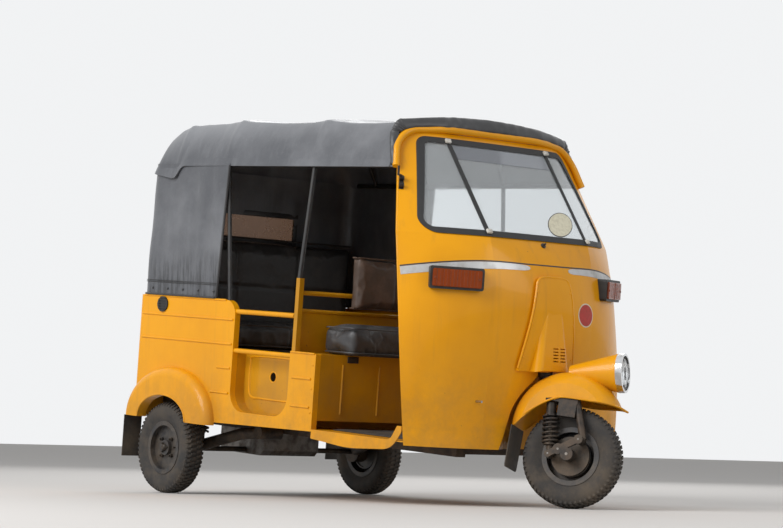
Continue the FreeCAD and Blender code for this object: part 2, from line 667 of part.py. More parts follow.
# Passenger seat box with the wheel houses' inner walls
WHEEL_HOUSE_Y = 430
tub_width = half - size("flange") - gap
tub_rear, tub_front = size("body_rear") + wall + gap, size("seat_riser_x") - wall - gap
house_top = size("seat_box_top") - wall - gap
seat_top_plate = slab([(tub_rear, -tub_width + 14, 0), (tub_rear + 14, -tub_width, 0), (tub_front, -tub_width, 0),
                       (tub_front, tub_width, 0), (tub_rear + 14, tub_width, 0), (tub_rear, tub_width - 14, 0)],
                      plan_plane(size("seat_box_top") - wall), Vector(0, 0, wall))
seat_plates = [
    box("SeatRiser", ("seat_riser_x - wall", "wall"), (-tub_width, 2 * tub_width), ("floor_height", "seat_box_top - floor_height")),
    feature("SeatTop", seat_top_plate),
    box("WheelHouseRight", (tub_rear, tub_front - tub_rear), (-WHEEL_HOUSE_Y - 3, 3), ("floor_height", house_top - floor_low)),
    box("WheelHouseLeft", (tub_rear, tub_front - tub_rear), (WHEEL_HOUSE_Y, 3), ("floor_height", house_top - floor_low)),
]
node("seat_tub", sprung, *seat_plates)

# Driver's seat box and the partition behind it
box_width = half - size("flange") - gap
BOX_LOW = 427
box_front = box("BoxFront", ("column_front - wall", "wall"), (-box_width, 2 * box_width), (BOX_LOW, f"column_top - {BOX_LOW}"))
box_top = box("BoxTop", ("partition_x + wall + seat_gap", "column_front - partition_x - 2 * wall - 2 * seat_gap"),
              (-box_width, 2 * box_width), ("column_top - wall", "wall"))
box_ribs = [rod(f"BoxRib{index}", ("column_front", y, BOX_LOW + 30), "rib_radius", f"column_top - {BOX_LOW + 70}", Vector(0, 0, 1))
            for index, y in enumerate((-450, -250, 0, 250, 450))]
node("driver_seat_box", sprung, fuse("DriverSeatBox", box_front, *box_ribs), box_top)
node("partition", sprung, fuse(
    "Partition",
    box("PartitionPlate", ("partition_x", "wall"), (-box_width, 2 * box_width),
        ("floor_height + floor_plate + seat_gap", "partition_top - floor_height - floor_plate - seat_gap")),
    rod("PartitionRoll", ("partition_x + wall / 2", -box_width, "partition_top"), 9, 2 * box_width)))

# Fender flares: filleted elliptical blocks, hollowed and cut by the wheel arch


def flare_block(shrink):
    """Rounded flare block, its walls drawn in by a shrink."""
    depth = size("flare_half_width") - half - shrink
    block = ellipse_prism(size("flare_shift"), low, size("flare_half_length") - shrink,
                          size("flare_height") - shrink, -half - depth, depth)
    outer = [edge for edge in block.Edges if abs(edge.BoundBox.YMin + half + depth) < 0.01
             and abs(edge.BoundBox.YMax + half + depth) < 0.01]
    return block.makeFillet(depth - 8, outer)


lower_half = Part.makeBox(1200, 400, 600, Vector(-600, -half - 200, low - 600))
flare_shape = flare_block(0).cut(flare_block(wall)).cut(arch).cut(lower_half)
lip_ring = ellipse_prism(0, low, size("arch_half_length") + 3, size("arch_height") + 3,
                         -size("flare_half_width"), size("flare_half_width") - half - gap).cut(arch).cut(lower_half)
flare_shape = flare_shape.cut(Part.makeBox(1400, 60, 900, Vector(-700, -half - gap, 0))).fuse(lip_ring)
flare = feature("FlareRight", flare_shape)
node("wheel_flares", sprung, flare, mirror(flare))

# Louvred oval vents high on the side panels
vent_x, vent_z = -110, 872
vent_body = ellipse_prism(vent_x, vent_z, 40, 35, -half - 7, 7 - gap)
vent_slots = [Part.makeBox(56, 10, 5, Vector(vent_x - 28, -half - 12, vent_z - 26 + i * 12)) for i in range(5)]
vent = feature("VentRight", vent_body.cut(vent_slots[0].multiFuse(vent_slots[1:])))
node("side_vents", sprung, vent, mirror(vent))

# Hood frame: posts, side rails and hoops of tube, yellow foot posts apart
POST_Y, RAIL_Y, FRONT_RAIL_Y = half - 14, half - 22, 515
RAIL_END = door_line_x(size("hood_low") + size("hood_tube")) - gap
post_x = size("partition_x") + 12
MIDDLE_RAIL_Y = RAIL_Y + (FRONT_RAIL_Y - RAIL_Y) * (post_x - 300) / (RAIL_END - 300)
rail_z, tube_r = size("hood_low"), size("hood_tube")
hood_parts = []
HOOPS = [
    # x, half width at the rail, half width at the shoulder, shoulder height, crown height
    (-76, RAIL_Y, 494, 1662, 1688),
    (300, RAIL_Y, 500, 1688, 1714),
    (post_x, MIDDLE_RAIL_Y, 474, 1688, 1714),
]
hoop_r = tube_r - 1.5
POST_FOOT = 1024
for x, rail_half, shoulder, shoulder_z, crown_z in HOOPS:
    bow = [(rail_half, rail_z, 0), (shoulder, shoulder_z, 50), (shoulder * 0.45, crown_z, 400)]
    bow += [(-y, z, bend) for y, z, bend in reversed(bow)]
    hood_parts.append(swept_tube([(Vector(x, y, z), bend) for y, z, bend in bow], hoop_r))
for side in (-1, 1):
    rail_path = [(Vector(-215, side * RAIL_Y, rail_z), 0), (Vector(300, side * RAIL_Y, rail_z), 500),
                 (Vector(RAIL_END, side * FRONT_RAIL_Y, rail_z), 0)]
    hood_parts.append(swept_tube(rail_path, tube_r))
    hood_parts.append(tube(Vector(387, side * POST_Y, size("panel_top") - 5), Vector(300, side * RAIL_Y, rail_z), hoop_r))
    hood_parts.append(tube(Vector(post_x, side * POST_Y, POST_FOOT - 5), Vector(post_x, side * MIDDLE_RAIL_Y, rail_z), hoop_r))
under_posts = [Part.makeBox(300, 1400, 300, Vector(250, -700, size("panel_top") + gap - 300)),
               Part.makeBox(300, 1400, 300, Vector(post_x - 100, -700, POST_FOOT - 300))]
hood = hood_parts[0].multiFuse(hood_parts[1:]).cut(under_posts[0].fuse(under_posts[1])).cut(gutter_room)
node("hood_frame", sprung, feature("HoodFrame", hood))

foot_posts = []
for side in (-1, 1):
    foot_posts.append(Part.makeBox(24, 24, POST_FOOT - size("column_top") - 2 * gap,
                                   Vector(post_x - 5, side * POST_Y - 12, size("column_top") + gap)))
rest_bar = tube(Vector(post_x + 4, -POST_Y, 962), Vector(post_x + 4, POST_Y, 962), 10)
node("driver_rest_bar", sprung, feature("RestBar", foot_posts[0].multiFuse(foot_posts[1:] + [rest_bar])))

# Rails across the closed right-hand entry
panel_room = feature("PanelRoom", Part.Face(outline(panel_corners, side_plane(-half - 1)).makeOffset2D(gap))
                     .extrude(Vector(0, 60, 0)))
rails = []
for index, z in enumerate((690, 862)):
    bar = rod(f"EntryRail{index}", ("entry_rear - 24", -half + 14, z), 11, "partition_x - entry_rear + 24 - seat_gap",
              Vector(1, 0, 0))
    rails.append(cut(f"EntryRailEnd{index}", bar, panel_room))
node("entry_rails", sprung, *rails)


# Canopy: a roof of cloth over the hoops and a curtain round the back

def canopy_wire(x, low_half, shoulder, shoulder_z, crown_z, inset, low_z):
    """Cross-section of the roof, drawn inwards by an inset."""
    low_half, shoulder = low_half - inset, shoulder - inset * 0.8
    shoulder_z, crown_z = shoulder_z - inset, crown_z - inset
    turn = Vector(x, -(low_half * 0.3 + shoulder * 0.7) - 13, low_z * 0.28 + shoulder_z * 0.72)
    right = [Vector(x, -low_half, low_z), turn, Vector(x, -shoulder, shoulder_z)]
    left = [Vector(p.x, -p.y, p.z) for p in reversed(right)]
    return Part.Wire([Part.Arc(*right).toShape(),
                      Part.Arc(right[2], Vector(x, 0, crown_z), left[0]).toShape(),
                      Part.Arc(*left).toShape(), Part.makeLine(left[2], right[0])])


def roof(inset, drop):
    """Solid under the roof cloth."""
    top_z, low_z, front = size("canopy_top"), size("canopy_low") - drop, size("canopy_front")
    stations = [
        # x, half width below, half width at the shoulder, shoulder height, crown height
        (front + drop, 536, 470, top_z - 36, top_z),
        (300, 600, 512, top_z - 24, top_z - 2),
        (20, 604, 512, top_z - 30, top_z - 6),
        (-160, 604, 506, top_z - 64, top_z - 46),
        (-284 + inset, 600, 500, top_z - 130, top_z - 116),
    ]
    wires = [canopy_wire(*row, inset, low_z) for row in stations]
    return Part.makeLoft(wires[:2], True, True).fuse(Part.makeLoft(wires[1:], True, False))


cloth = size("canopy_thickness")
ahead = size("header_nose") + 100
edge_top, edge_low = size("header_height") - 10, size("canopy_low") - 20
before_header = slab([(size("door_head") + 2, -620, 0), (size("door_head") + 2, -480, 60), (size("header_nose") - 20, -277, 200),
                      (size("header_nose") - 12, 0, 0), (size("header_nose") - 20, 277, 200), (size("door_head") + 2, 480, 60),
                      (size("door_head") + 2, 620, 0), (ahead, 620, 0), (ahead, -620, 0)],
                     plan_plane(edge_top), Vector(0, 0, 120))
before_pillars = slab([(size("door_head") + 2, edge_top, 0), (ahead, edge_top, 0), (ahead, edge_low, 0),
                       (door_line_x(size("canopy_low")) - 2, edge_low, 0)], side_plane(-700), Vector(0, 1400, 0))
roof_shape = roof(0, 0).cut(roof(cloth, 14)).cut(before_header).cut(before_pillars).cut(gutter_room)
node("canopy_roof", sprung, feature("CanopyRoof", roof_shape))


def curtain_block(inset, extra):
    """Solid inside the curtain round the back."""
    back, front = size("body_rear") + 6 + inset, size("curtain_front") + extra
    wires = []
    for z, shift, width in ((size("curtain_bottom") - extra, 0, half + 3), (size("canopy_low") - gap + extra, 16, half + 2)):
        width -= inset
        turn = 70 - inset
        wires.append(outline([(front, -width, 0), (front, width, 0), (back + shift, width, turn),
                              (back + shift, -width, turn)], plan_plane(z)))
    return Part.makeLoft(wires, True, True)


WINDOW_HALF, WINDOW_LOW, WINDOW_HIGH = 250, 1207, 1324


def window_prism(inset):
    """Rear window opening through the curtain."""
    a, b, c = WINDOW_HALF - inset, WINDOW_LOW + inset, WINDOW_HIGH - inset
    return slab([(-a, b, 16), (a, b, 16), (a, c, 16), (-a, c, 16)], front_plane(size("body_rear") - 60), Vector(160, 0, 0))


curtain_shell = curtain_block(0, 0).cut(curtain_block(cloth, 20))
slant = slab([(size("curtain_front") - 34, size("curtain_bottom") - 60, 0), (size("curtain_front") + 40, size("curtain_bottom") - 60, 0),
              (size("curtain_front") + 40, size("canopy_low") + 40, 0), (size("curtain_front"), size("canopy_low") + 40, 0)],
             side_plane(-800), Vector(0, 1600, 0))
curtain_shell = curtain_shell.cut(slant)
node("rear_curtain", sprung, feature("RearCurtain", curtain_shell.cut(window_prism(0))))
window_film = curtain_block(1.5, 10).cut(curtain_block(4, 30)).common(window_prism(gap))
node("rear_window", sprung, feature("RearWindow", window_film))


# Seats: plain cushions that the driver's and passengers' boxes carry

def cushion(x, y, z, radius):
    """Rounded cushion block between pairs of limits."""
    block = Part.makeBox(x[1] - x[0], y[1] - y[0], z[1] - z[0], Vector(x[0], y[0], z[0]))
    return block.makeFillet(radius, block.Edges)


seat_top = size("column_top") + gap
node("driver_seat", sprung, feature("DriverSeat", cushion((902, 1132), (-480, 480), (seat_top, seat_top + 128), 26)))
node("driver_backrest", sprung, feature("DriverBackrest", cushion((post_x + 14 + gap, post_x + 75), (-340, 340), (899, 1142), 22)))
bench_top = size("seat_box_top") + gap
node("passenger_seat", sprung, feature("PassengerSeat", cushion((-130, 350), (-540, 540), (bench_top, bench_top + 116), 28)))
node("passenger_backrest", sprung,
     feature("PassengerBackrest", cushion((-236, -140), (-540, 540), (bench_top, bench_top + 520), 30)))

# Small fittings on the cowl: tie hook and the stub of a mirror bracket
hook_x, hook_y, hook_z = 1770, -318, 552
hook = Part.makeTorus(15, 4, Vector(hook_x + 24, hook_y, hook_z), Vector(0.5, 0.86, 0), 360)
hook = hook.fuse(tube(Vector(hook_x - 10, hook_y, hook_z + 16), Vector(hook_x + 26, hook_y, hook_z + 16), 5)).cut(seated)
bracket_z = size("screen_base") + 170
bracket = Part.makeBox(26, 60, 70, Vector(door_line_x(bracket_z) + 10, -572, bracket_z)).cut(cowl_block(gap))
stub_foot = Vector(door_line_x(bracket_z) + 23, -564, bracket_z + 60)
bracket = bracket.fuse(Part.makeCylinder(5, 40, stub_foot, Vector(0, 0, 1)))
node("tie_hook", sprung, feature("TieHook", hook))
node("mirror_bracket", sprung, feature("MirrorBracket", bracket))

# Tail lamps on the rear corners
tail = lamp_block(90, 130, rear_x - 24, 24 - gap, 12)
tail.translate(Vector(0, -470, 800))
tail_lamp = feature("TailLampRight", tail)
node("tail_lamps", sprung, tail_lamp, mirror(tail_lamp))

# Rear running gear: engine block, trailing arms with hubs and drive shafts, shock absorbers, flaps
engine = Part.makeBox(340, 320, 250, Vector(-200, -160, 205))
engine = engine.makeChamfer(24, [e for e in engine.Edges if abs(e.Vertexes[0].Y - e.Vertexes[1].Y) > 1])
node("engine_block", sprung, feature("EngineBlock", engine))

axle_z = size("axle_in_body")
track_half = size("rear_track") / 2
knuckle_y = track_half - size("rim_width") / 2 - 2
arm = bent_tube([Vector(ARM_PIVOT_X, -360, ARM_PIVOT_Z), Vector(300, -400, 316), Vector(40, -470, axle_z + 10)], 26)
arm = arm.multiFuse([
    Part.makeCylinder(30, 120, Vector(ARM_PIVOT_X, -415, ARM_PIVOT_Z), Vector(0, 1, 0)),
    Part.makeCylinder(50, 60, Vector(0, -knuckle_y, axle_z), Vector(0, 1, 0)),
    Part.makeCylinder(size("axle_radius"), knuckle_y - 160 - 60 + 60 - gap, Vector(0, -knuckle_y, axle_z), Vector(0, 1, 0)),
    Part.makeCylinder(size("axle_radius"), knuckle_y + 60, Vector(0, -knuckle_y - 70, axle_z), Vector(0, 1, 0)).common(
        Part.makeBox(100, 100, 100, Vector(-50, -knuckle_y - 70, axle_z - 50))),
])
arm_feature = feature("ArmRight", arm)
node("trailing_arms", sprung, arm_feature, mirror(arm_feature))

shock = Part.makeCylinder(20, 60, Vector(70, -468, 262), Vector(0, 0, 1))
shock = shock.fuse(coil_stack(Vector(70, -468, 320), Vector(0, 0, 1), 18, 28, 6, 20))
shock = shock.fuse(Part.makeCylinder(11, size("seat_box_top") - wall - gap - 430, Vector(70, -468, 430), Vector(0, 0, 1)))
shock = shock.cut(arm)
shock_feature = feature("ShockRight", shock)
node("rear_shocks", sprung, shock_feature, mirror(shock_feature))

flap = Part.makeBox(4, 96, 190, Vector(size("flare_shift") - size("flare_half_length") + 12, -size("flare_half_width") + 4,
                                       low - 190 - gap))
flap_feature = feature("RearFlapRight", flap)
node("rear_flaps", sprung, flap_feature, mirror(flap_feature))

# Steered pieces, drawn straight ahead from the foot of the steering axis
lead = size("axle_lead")
leg_y = -size("fork_offset")


def on_axis(distance, offset=0.0):
    """Point on the steering axis, moved back by an offset."""
    return steering_axis * distance - Vector(offset, 0, 0)


YOKE_LOW, YOKE_TOP = 209, 234
fork = bent_tube([on_axis(size("handlebar_distance")), on_axis(235), Vector(lead - 2, leg_y, 224), Vector(lead + 50, leg_y, 70)], 15)
fork = fork.multiFuse([
    Part.makeCylinder(size("column_radius"), 470, on_axis(250), steering_axis),
    Part.makeCylinder(HEAD_RADIUS - 4, 26, on_axis(HEAD_START - 26 - gap), steering_axis),
    Part.makeCylinder(19, 34, Vector(lead + 42, leg_y - 17, 67), Vector(0, 1, 0)),
    Part.makeBox(140, 33, YOKE_TOP - YOKE_LOW, Vector(lead - 134, leg_y - 19, YOKE_LOW)),
    Part.makeBox(76, 33, YOKE_LOW - 152, Vector(lead - 72, leg_y - 19, 153)),
])
node("fork", steered, feature("Fork", fork))

LINK_WIDTH, PLATE_RADIUS = 14, 80
link_y = leg_y - 17 - gap - LINK_WIDTH
link_joints = [(Vector(lead + 38, link_y, 66), 19), (Vector(lead - 39, link_y, 16), 22), (Vector(lead - 78, link_y, -8), 15)]
link = Part.makeCylinder(26, LINK_WIDTH - 60 - link_y, Vector(lead, link_y, 0), Vector(0, 1, 0))
link = link.multiFuse([Part.makeCylinder(radius, LINK_WIDTH, joint, Vector(0, 1, 0)) for joint, radius in link_joints])
for (a, _), (b, _) in zip(link_joints, link_joints[1:]):
    run = b - a
    across = Vector(run.z, 0, -run.x).normalize() * 13
    link = link.fuse(Part.Face(Part.makePolygon([a + across, b + across, b - across, a - across, a + across]))
                     .extrude(Vector(0, LINK_WIDTH, 0)))
link = link.fuse(Part.makeCylinder(PLATE_RADIUS, 12, Vector(lead, -46, 0), Vector(0, 1, 0)))
link = link.fuse(Part.makeCylinder(size("axle_radius"), -link_y + 30, Vector(lead, link_y, 0), Vector(0, 1, 0)))
node("fork_link", steered, feature("ForkLink", link))

spring_y = link_y + LINK_WIDTH + gap + 9
spring_foot = Vector(lead - 80, spring_y, -8)
spring_head = Vector(lead - 110, spring_y, YOKE_LOW - gap)
spring_run = (spring_head - spring_foot).normalize()
spring = Part.makeCylinder(16, 17, Vector(lead - 80, spring_y - 8.5, -8), Vector(0, 1, 0))
spring = spring.fuse(Part.makeCylinder(15, 210, spring_foot + spring_run * 8, spring_run))
SPRING_SLEEVE = 21
spring = spring.fuse(Part.makeCylinder(SPRING_SLEEVE, 60, spring_foot + spring_run * 158, spring_run))
spring = spring.fuse(coil_stack(spring_foot + spring_run * 52, spring_run, 15, 26, 6, 17))
spring = spring.common(Part.makeBox(400, 100, 400, Vector(-200, spring_y - 50, YOKE_LOW - gap - 400))).cut(link)
node("front_spring", steered, feature("FrontSpring", spring))


def fender_ring(shrink):
    """Full ring of the fender's crowned section, its walls drawn in by a shrink."""
    width, crown = size("fender_half_width") - shrink, size("fender_radius") - shrink
    shoulder = crown - 63
    wire = Part.Wire([
        Part.Arc(Vector(0, -width, shoulder), Vector(0, 0, crown), Vector(0, width, shoulder)).toShape(),
        Part.makePolygon([Vector(0, width, shoulder), Vector(0, width, 40), Vector(0, -width, 40),
                          Vector(0, -width, shoulder)]),
    ])
    ring = Part.Face(wire).revolve(Vector(), Vector(0, 1, 0), 360)
    ring.translate(Vector(lead - 40, 0, 112))
    return ring


LAMP_X, LAMP_Z, LAMP_TILT = 132, 372, 8
lamp_seat = Vector(lead + LAMP_X, 0, LAMP_Z)
lamp_run = Vector(math.cos(math.radians(LAMP_TILT)), 0, math.sin(math.radians(LAMP_TILT)))
NACELLE_LENGTH = 205
nacelle = Part.makeCone(34, size("headlamp_radius"), NACELLE_LENGTH, lamp_seat - lamp_run * NACELLE_LENGTH, lamp_run)
nacelle_room = Part.makeCone(31, size("headlamp_radius") - wall, NACELLE_LENGTH, lamp_seat - lamp_run * (NACELLE_LENGTH - 1), lamp_run)
fender = fender_ring(0).fuse(nacelle).cut(fender_ring(wall)).cut(nacelle_room)
skirt_corners = [(-600, -300, 0), (-600, 92, 0), (-248, 92, 30), (-150, 186, 160), (-60, 229, 90), (150, 229, 60), (210, 212, 0),
                 (260, 186, 0), (600, 186, 0), (600, -300, 0)]
below_skirt = slab([(lead + x, z, bend) for x, z, bend in skirt_corners], side_plane(-200), Vector(0, 400, 0))
fender = fender.cut(below_skirt)
fender = fender.cut(Part.makeCylinder(size("column_radius") + gap, 300, on_axis(180), steering_axis))
fender = fender.cut(Part.makeCylinder(SPRING_SLEEVE + 2, 90, spring_foot + spring_run * 140, spring_run))
node("front_fender", steered, feature("FrontFender", fender))

ring_seat = lamp_seat + lamp_run * gap
ring = Part.makeCylinder(size("headlamp_radius") + 1, 26, ring_seat, lamp_run).cut(
    Part.makeCylinder(size("headlamp_radius") - 9, 50, ring_seat - lamp_run * 10, lamp_run))
node("headlamp_ring", steered, feature("HeadlampRing", ring.cut(fender)))
dome_radius = 150
lens_radius = size("headlamp_radius") - 9 - gap
dome = Part.makeSphere(dome_radius, ring_seat + lamp_run * (34 - dome_radius)).common(
    Part.makeCylinder(lens_radius, 60, ring_seat + lamp_run * 8, lamp_run))
node("headlamp_lens", steered, feature("HeadlampLens", dome))

flap_x = lead - 258
node("front_flap", steered, feature("FrontFlap", slab(
    [(-86, 91.7, 0), (86, 91.7, 0), (82, -82, 14), (-82, -82, 14)], front_plane(flap_x), Vector(4, 0, 0))))

bar_z = size("handlebar_distance")
bar_middle = on_axis(bar_z, 60)
bar_turn = Vector(-40, 170, 0)
bar_end = Vector(-110, size("handlebar_half"), -10)
bars = bent_tube([bar_middle + Vector(bar_end.x, -bar_end.y, bar_end.z), bar_middle + Vector(bar_turn.x, -bar_turn.y, 0),
                  bar_middle, bar_middle + bar_turn, bar_middle + bar_end], 11)
stem = tube(on_axis(bar_z + 17 + gap), bar_middle + Vector(-1, 0, 10), 17, True)
grips = []
for side in (-1, 1):
    grip_end = bar_middle + Vector(bar_end.x, side * bar_end.y, bar_end.z)
    grip_run = grip_end - (bar_middle + Vector(bar_turn.x, side * bar_turn.y, 0))
    grips.append(Part.makeCylinder(size("grip_radius"), 105, grip_end - grip_run.normalize() * 104, grip_run))
handlebar = bars.multiFuse([stem] + grips)
node("handlebar", steered, feature("Handlebar", handlebar))


# Wheels, drawn about their own hubs with the axle along y

def tyre_profile():
    """Section of a tyre in the y-z plane, as straight facets."""
    radius, w = size("tyre_radius"), size("tyre_width") / 2
    seat, bead = size("rim_radius") + gap, size("rim_width") / 2 - 3 - gap
    flange_top = size("rim_radius") + size("rim_flange")
    right = [(13, radius), (w - 8, radius - 9), (w, radius - 44), (bead, flange_top + 1), (bead, seat)]
    left = [(-y, z) for y, z in reversed(right)]
    return Part.makePolygon([Vector(0, y, z) for y, z in right + left + right[:1]])


def make_wheel(tag, carrier, outer_side):
    """Rim with its drum and hub, and a tyre, for one wheel; outer_side is the sign of y outwards."""
    tyre_wire = feature("TyreProfile" + tag, Part.Face(tyre_profile()))
    node(tag + "_tyre", carrier, revolve("Tyre" + tag, tyre_wire))
    face = 12 * outer_side
    barrel = cut("Barrel" + tag, rod("BarrelOut" + tag, (0, "-rim_width / 2", 0), "rim_radius", "rim_width"),
                 rod("BarrelIn" + tag, (0, "-rim_width / 2 - 1", 0), "rim_radius - 4", "rim_width + 2"))
    flanges = []
    for index, start in enumerate(("-rim_width / 2", "rim_width / 2 - 3")):
        flanges.append(cut(f"Flange{tag}{index}", rod(f"FlangeOut{tag}{index}", (0, start, 0), "rim_radius + rim_flange", 3),
                           rod(f"FlangeIn{tag}{index}", (0, f"{start} - 1", 0), "rim_radius - 4", 5)))
    web = rod("Web" + tag, (0, min(face, face + 5 * outer_side), 0), "rim_radius - 3", 5)
    drum = rod("Drum" + tag, (0, min(face, face - 38 * outer_side), 0), "rim_radius - 22", 38)
    hub = rod("Hub" + tag, (0, min(face, face + 22 * outer_side), 0), 34, 22)
    boss = fuse("Disc" + tag, web, drum, hub)
    bore = rod("Bore" + tag, (0, "-rim_width", 0), "axle_radius + seat_gap", "2 * rim_width")
    inside = rod("DrumRoom" + tag, (0, -40 * outer_side if outer_side > 0 else 20, 0), "rim_radius - 30", 20)
    node(tag + "_rim", carrier, fuse("Rim" + tag, barrel, *flanges, cut("DiscBored" + tag, boss, bore, inside)))


make_wheel("front", front_hub, 1)
make_wheel("rear_right", right_hub, -1)
make_wheel("rear_left", left_hub, 1)

doc.recompute()

# Every object computed, every sub-part sound, then one file for each node
for item in doc.Objects:
    if any(state in ("Invalid", "Error") for state in item.State):
        raise RuntimeError(f"{item.Name} failed: {item.State}")
os.makedirs("parts", exist_ok=True)
whole = FreeCAD.BoundBox()
for item in nodes:
    shape = item.Shape
    if shape.isNull() or not shape.isValid() or not shape.Solids:
        raise RuntimeError(f"{item.Label} has no valid shape")
    shape.exportStep(f"parts/{item.Label}.step")
    whole.add(shape.BoundBox)
    print(f"{item.Label:20s} solids {len(shape.Solids)} faces {len(shape.Faces)} volume {shape.Volume / 1e6:.3f} l")
print("extent", [round(v, 1) for v in (whole.XMin, whole.XMax, whole.YMin, whole.YMax, whole.ZMin, whole.ZMax)])
print("steering axis at", steered.Placement.Base, "along",
      sprung.Placement.Rotation.multVec(steering_axis))
print("mirror stub foot", sprung.Placement.multVec(stub_foot), "recess hole",
      sprung.Placement.multVec(drain.CenterOfMass))
print("front hub at", front_hub.Placement.Base, "axle along",
      front_hub.Placement.Rotation.multVec(Vector(0, 1, 0)))
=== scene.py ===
"""Looks of the auto rickshaw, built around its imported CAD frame.

Lengths are in metres. Most pieces are drawn in the level frame of the body (x forward from the
rear axle, y to the left, z up) or in the frame of the steered fork, and are then set in place.
"""
import json
import logging
import math
from dataclasses import dataclass, field
from enum import Enum

import bmesh
import bpy
from mathutils import Matrix, Vector, noise
from mathutils.bvhtree import BVHTree

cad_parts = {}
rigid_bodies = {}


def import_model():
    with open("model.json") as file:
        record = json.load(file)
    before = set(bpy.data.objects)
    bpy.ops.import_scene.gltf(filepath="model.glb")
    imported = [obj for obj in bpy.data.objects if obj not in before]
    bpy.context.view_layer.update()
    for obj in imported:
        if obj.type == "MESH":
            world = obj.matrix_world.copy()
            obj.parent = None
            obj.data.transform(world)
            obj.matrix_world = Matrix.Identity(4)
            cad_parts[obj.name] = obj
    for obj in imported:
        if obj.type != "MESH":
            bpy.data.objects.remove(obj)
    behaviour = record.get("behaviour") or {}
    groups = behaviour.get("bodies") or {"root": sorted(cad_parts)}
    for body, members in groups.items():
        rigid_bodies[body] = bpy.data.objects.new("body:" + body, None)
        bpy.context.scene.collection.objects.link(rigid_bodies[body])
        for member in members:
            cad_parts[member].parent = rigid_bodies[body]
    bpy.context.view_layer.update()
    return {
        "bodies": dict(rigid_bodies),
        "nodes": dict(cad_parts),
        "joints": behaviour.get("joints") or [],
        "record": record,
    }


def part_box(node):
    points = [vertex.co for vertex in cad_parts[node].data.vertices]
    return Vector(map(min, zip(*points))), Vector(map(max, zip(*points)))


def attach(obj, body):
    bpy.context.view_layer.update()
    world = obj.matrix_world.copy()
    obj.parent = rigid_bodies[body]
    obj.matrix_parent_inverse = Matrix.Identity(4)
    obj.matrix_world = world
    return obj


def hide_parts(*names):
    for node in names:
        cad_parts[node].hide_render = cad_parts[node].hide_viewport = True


LOG = logging.getLogger("rickshaw")
Colour = tuple[float, float, float]
Point = tuple[float, float, float]
Flat = tuple[float, float]


# Places

@dataclass(frozen=True)
class Stance:
    """How the level body and the turned fork stand in the finished vehicle."""

    rear_axle: Vector
    track: float
    nose_down: float = math.radians(4)
    axle_in_body: float = 0.224
    wheelbase: float = 2.0
    front_axle_in_body: float = 0.3652
    rake: float = math.radians(22)
    turn: float = math.radians(32)
    lead: float = 0.045

    @property
    def body(self) -> Matrix:
        """Level body frame to the row frame."""
        pitch = Matrix.Rotation(self.nose_down, 4, "Y")
        base = self.rear_axle - pitch @ Vector((0, 0, self.axle_in_body))
        return Matrix.Translation(Vector((base.x, 0, base.z))) @ pitch

    @property
    def steering_axis(self) -> Vector:
        """Steering axis in the body frame, pointing up."""
        return Vector((-math.sin(self.rake), 0, math.cos(self.rake)))

    @property
    def fork(self) -> Matrix:
        """Fork frame, straight ahead from the foot of the steering axis, to the row frame."""
        foot = Matrix.Translation((self.wheelbase - self.lead, 0, self.front_axle_in_body))
        return self.body @ foot @ Matrix.Rotation(self.turn, 4, self.steering_axis)

    @property
    def front_hub(self) -> Matrix:
        """Front wheel frame, its axle along y."""
        return self.fork @ Matrix.Translation((self.lead, 0, 0))

    def rear_hub(self, side: int) -> Matrix:
        """Rear wheel frame.

        Args:
            side: -1 for the right wheel, 1 for the left one.

        Returns:
            The matrix from the wheel frame to the row frame.
        """
        return Matrix.Translation((self.rear_axle.x, side * self.track / 2, self.rear_axle.z))


class Body(Enum):
    """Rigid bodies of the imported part."""

    BODY = "body"
    FORK = "fork"
    FRONT_WHEEL = "front_wheel"
    REAR_RIGHT = "rear_right_wheel"
    REAR_LEFT = "rear_left_wheel"


# Finishes

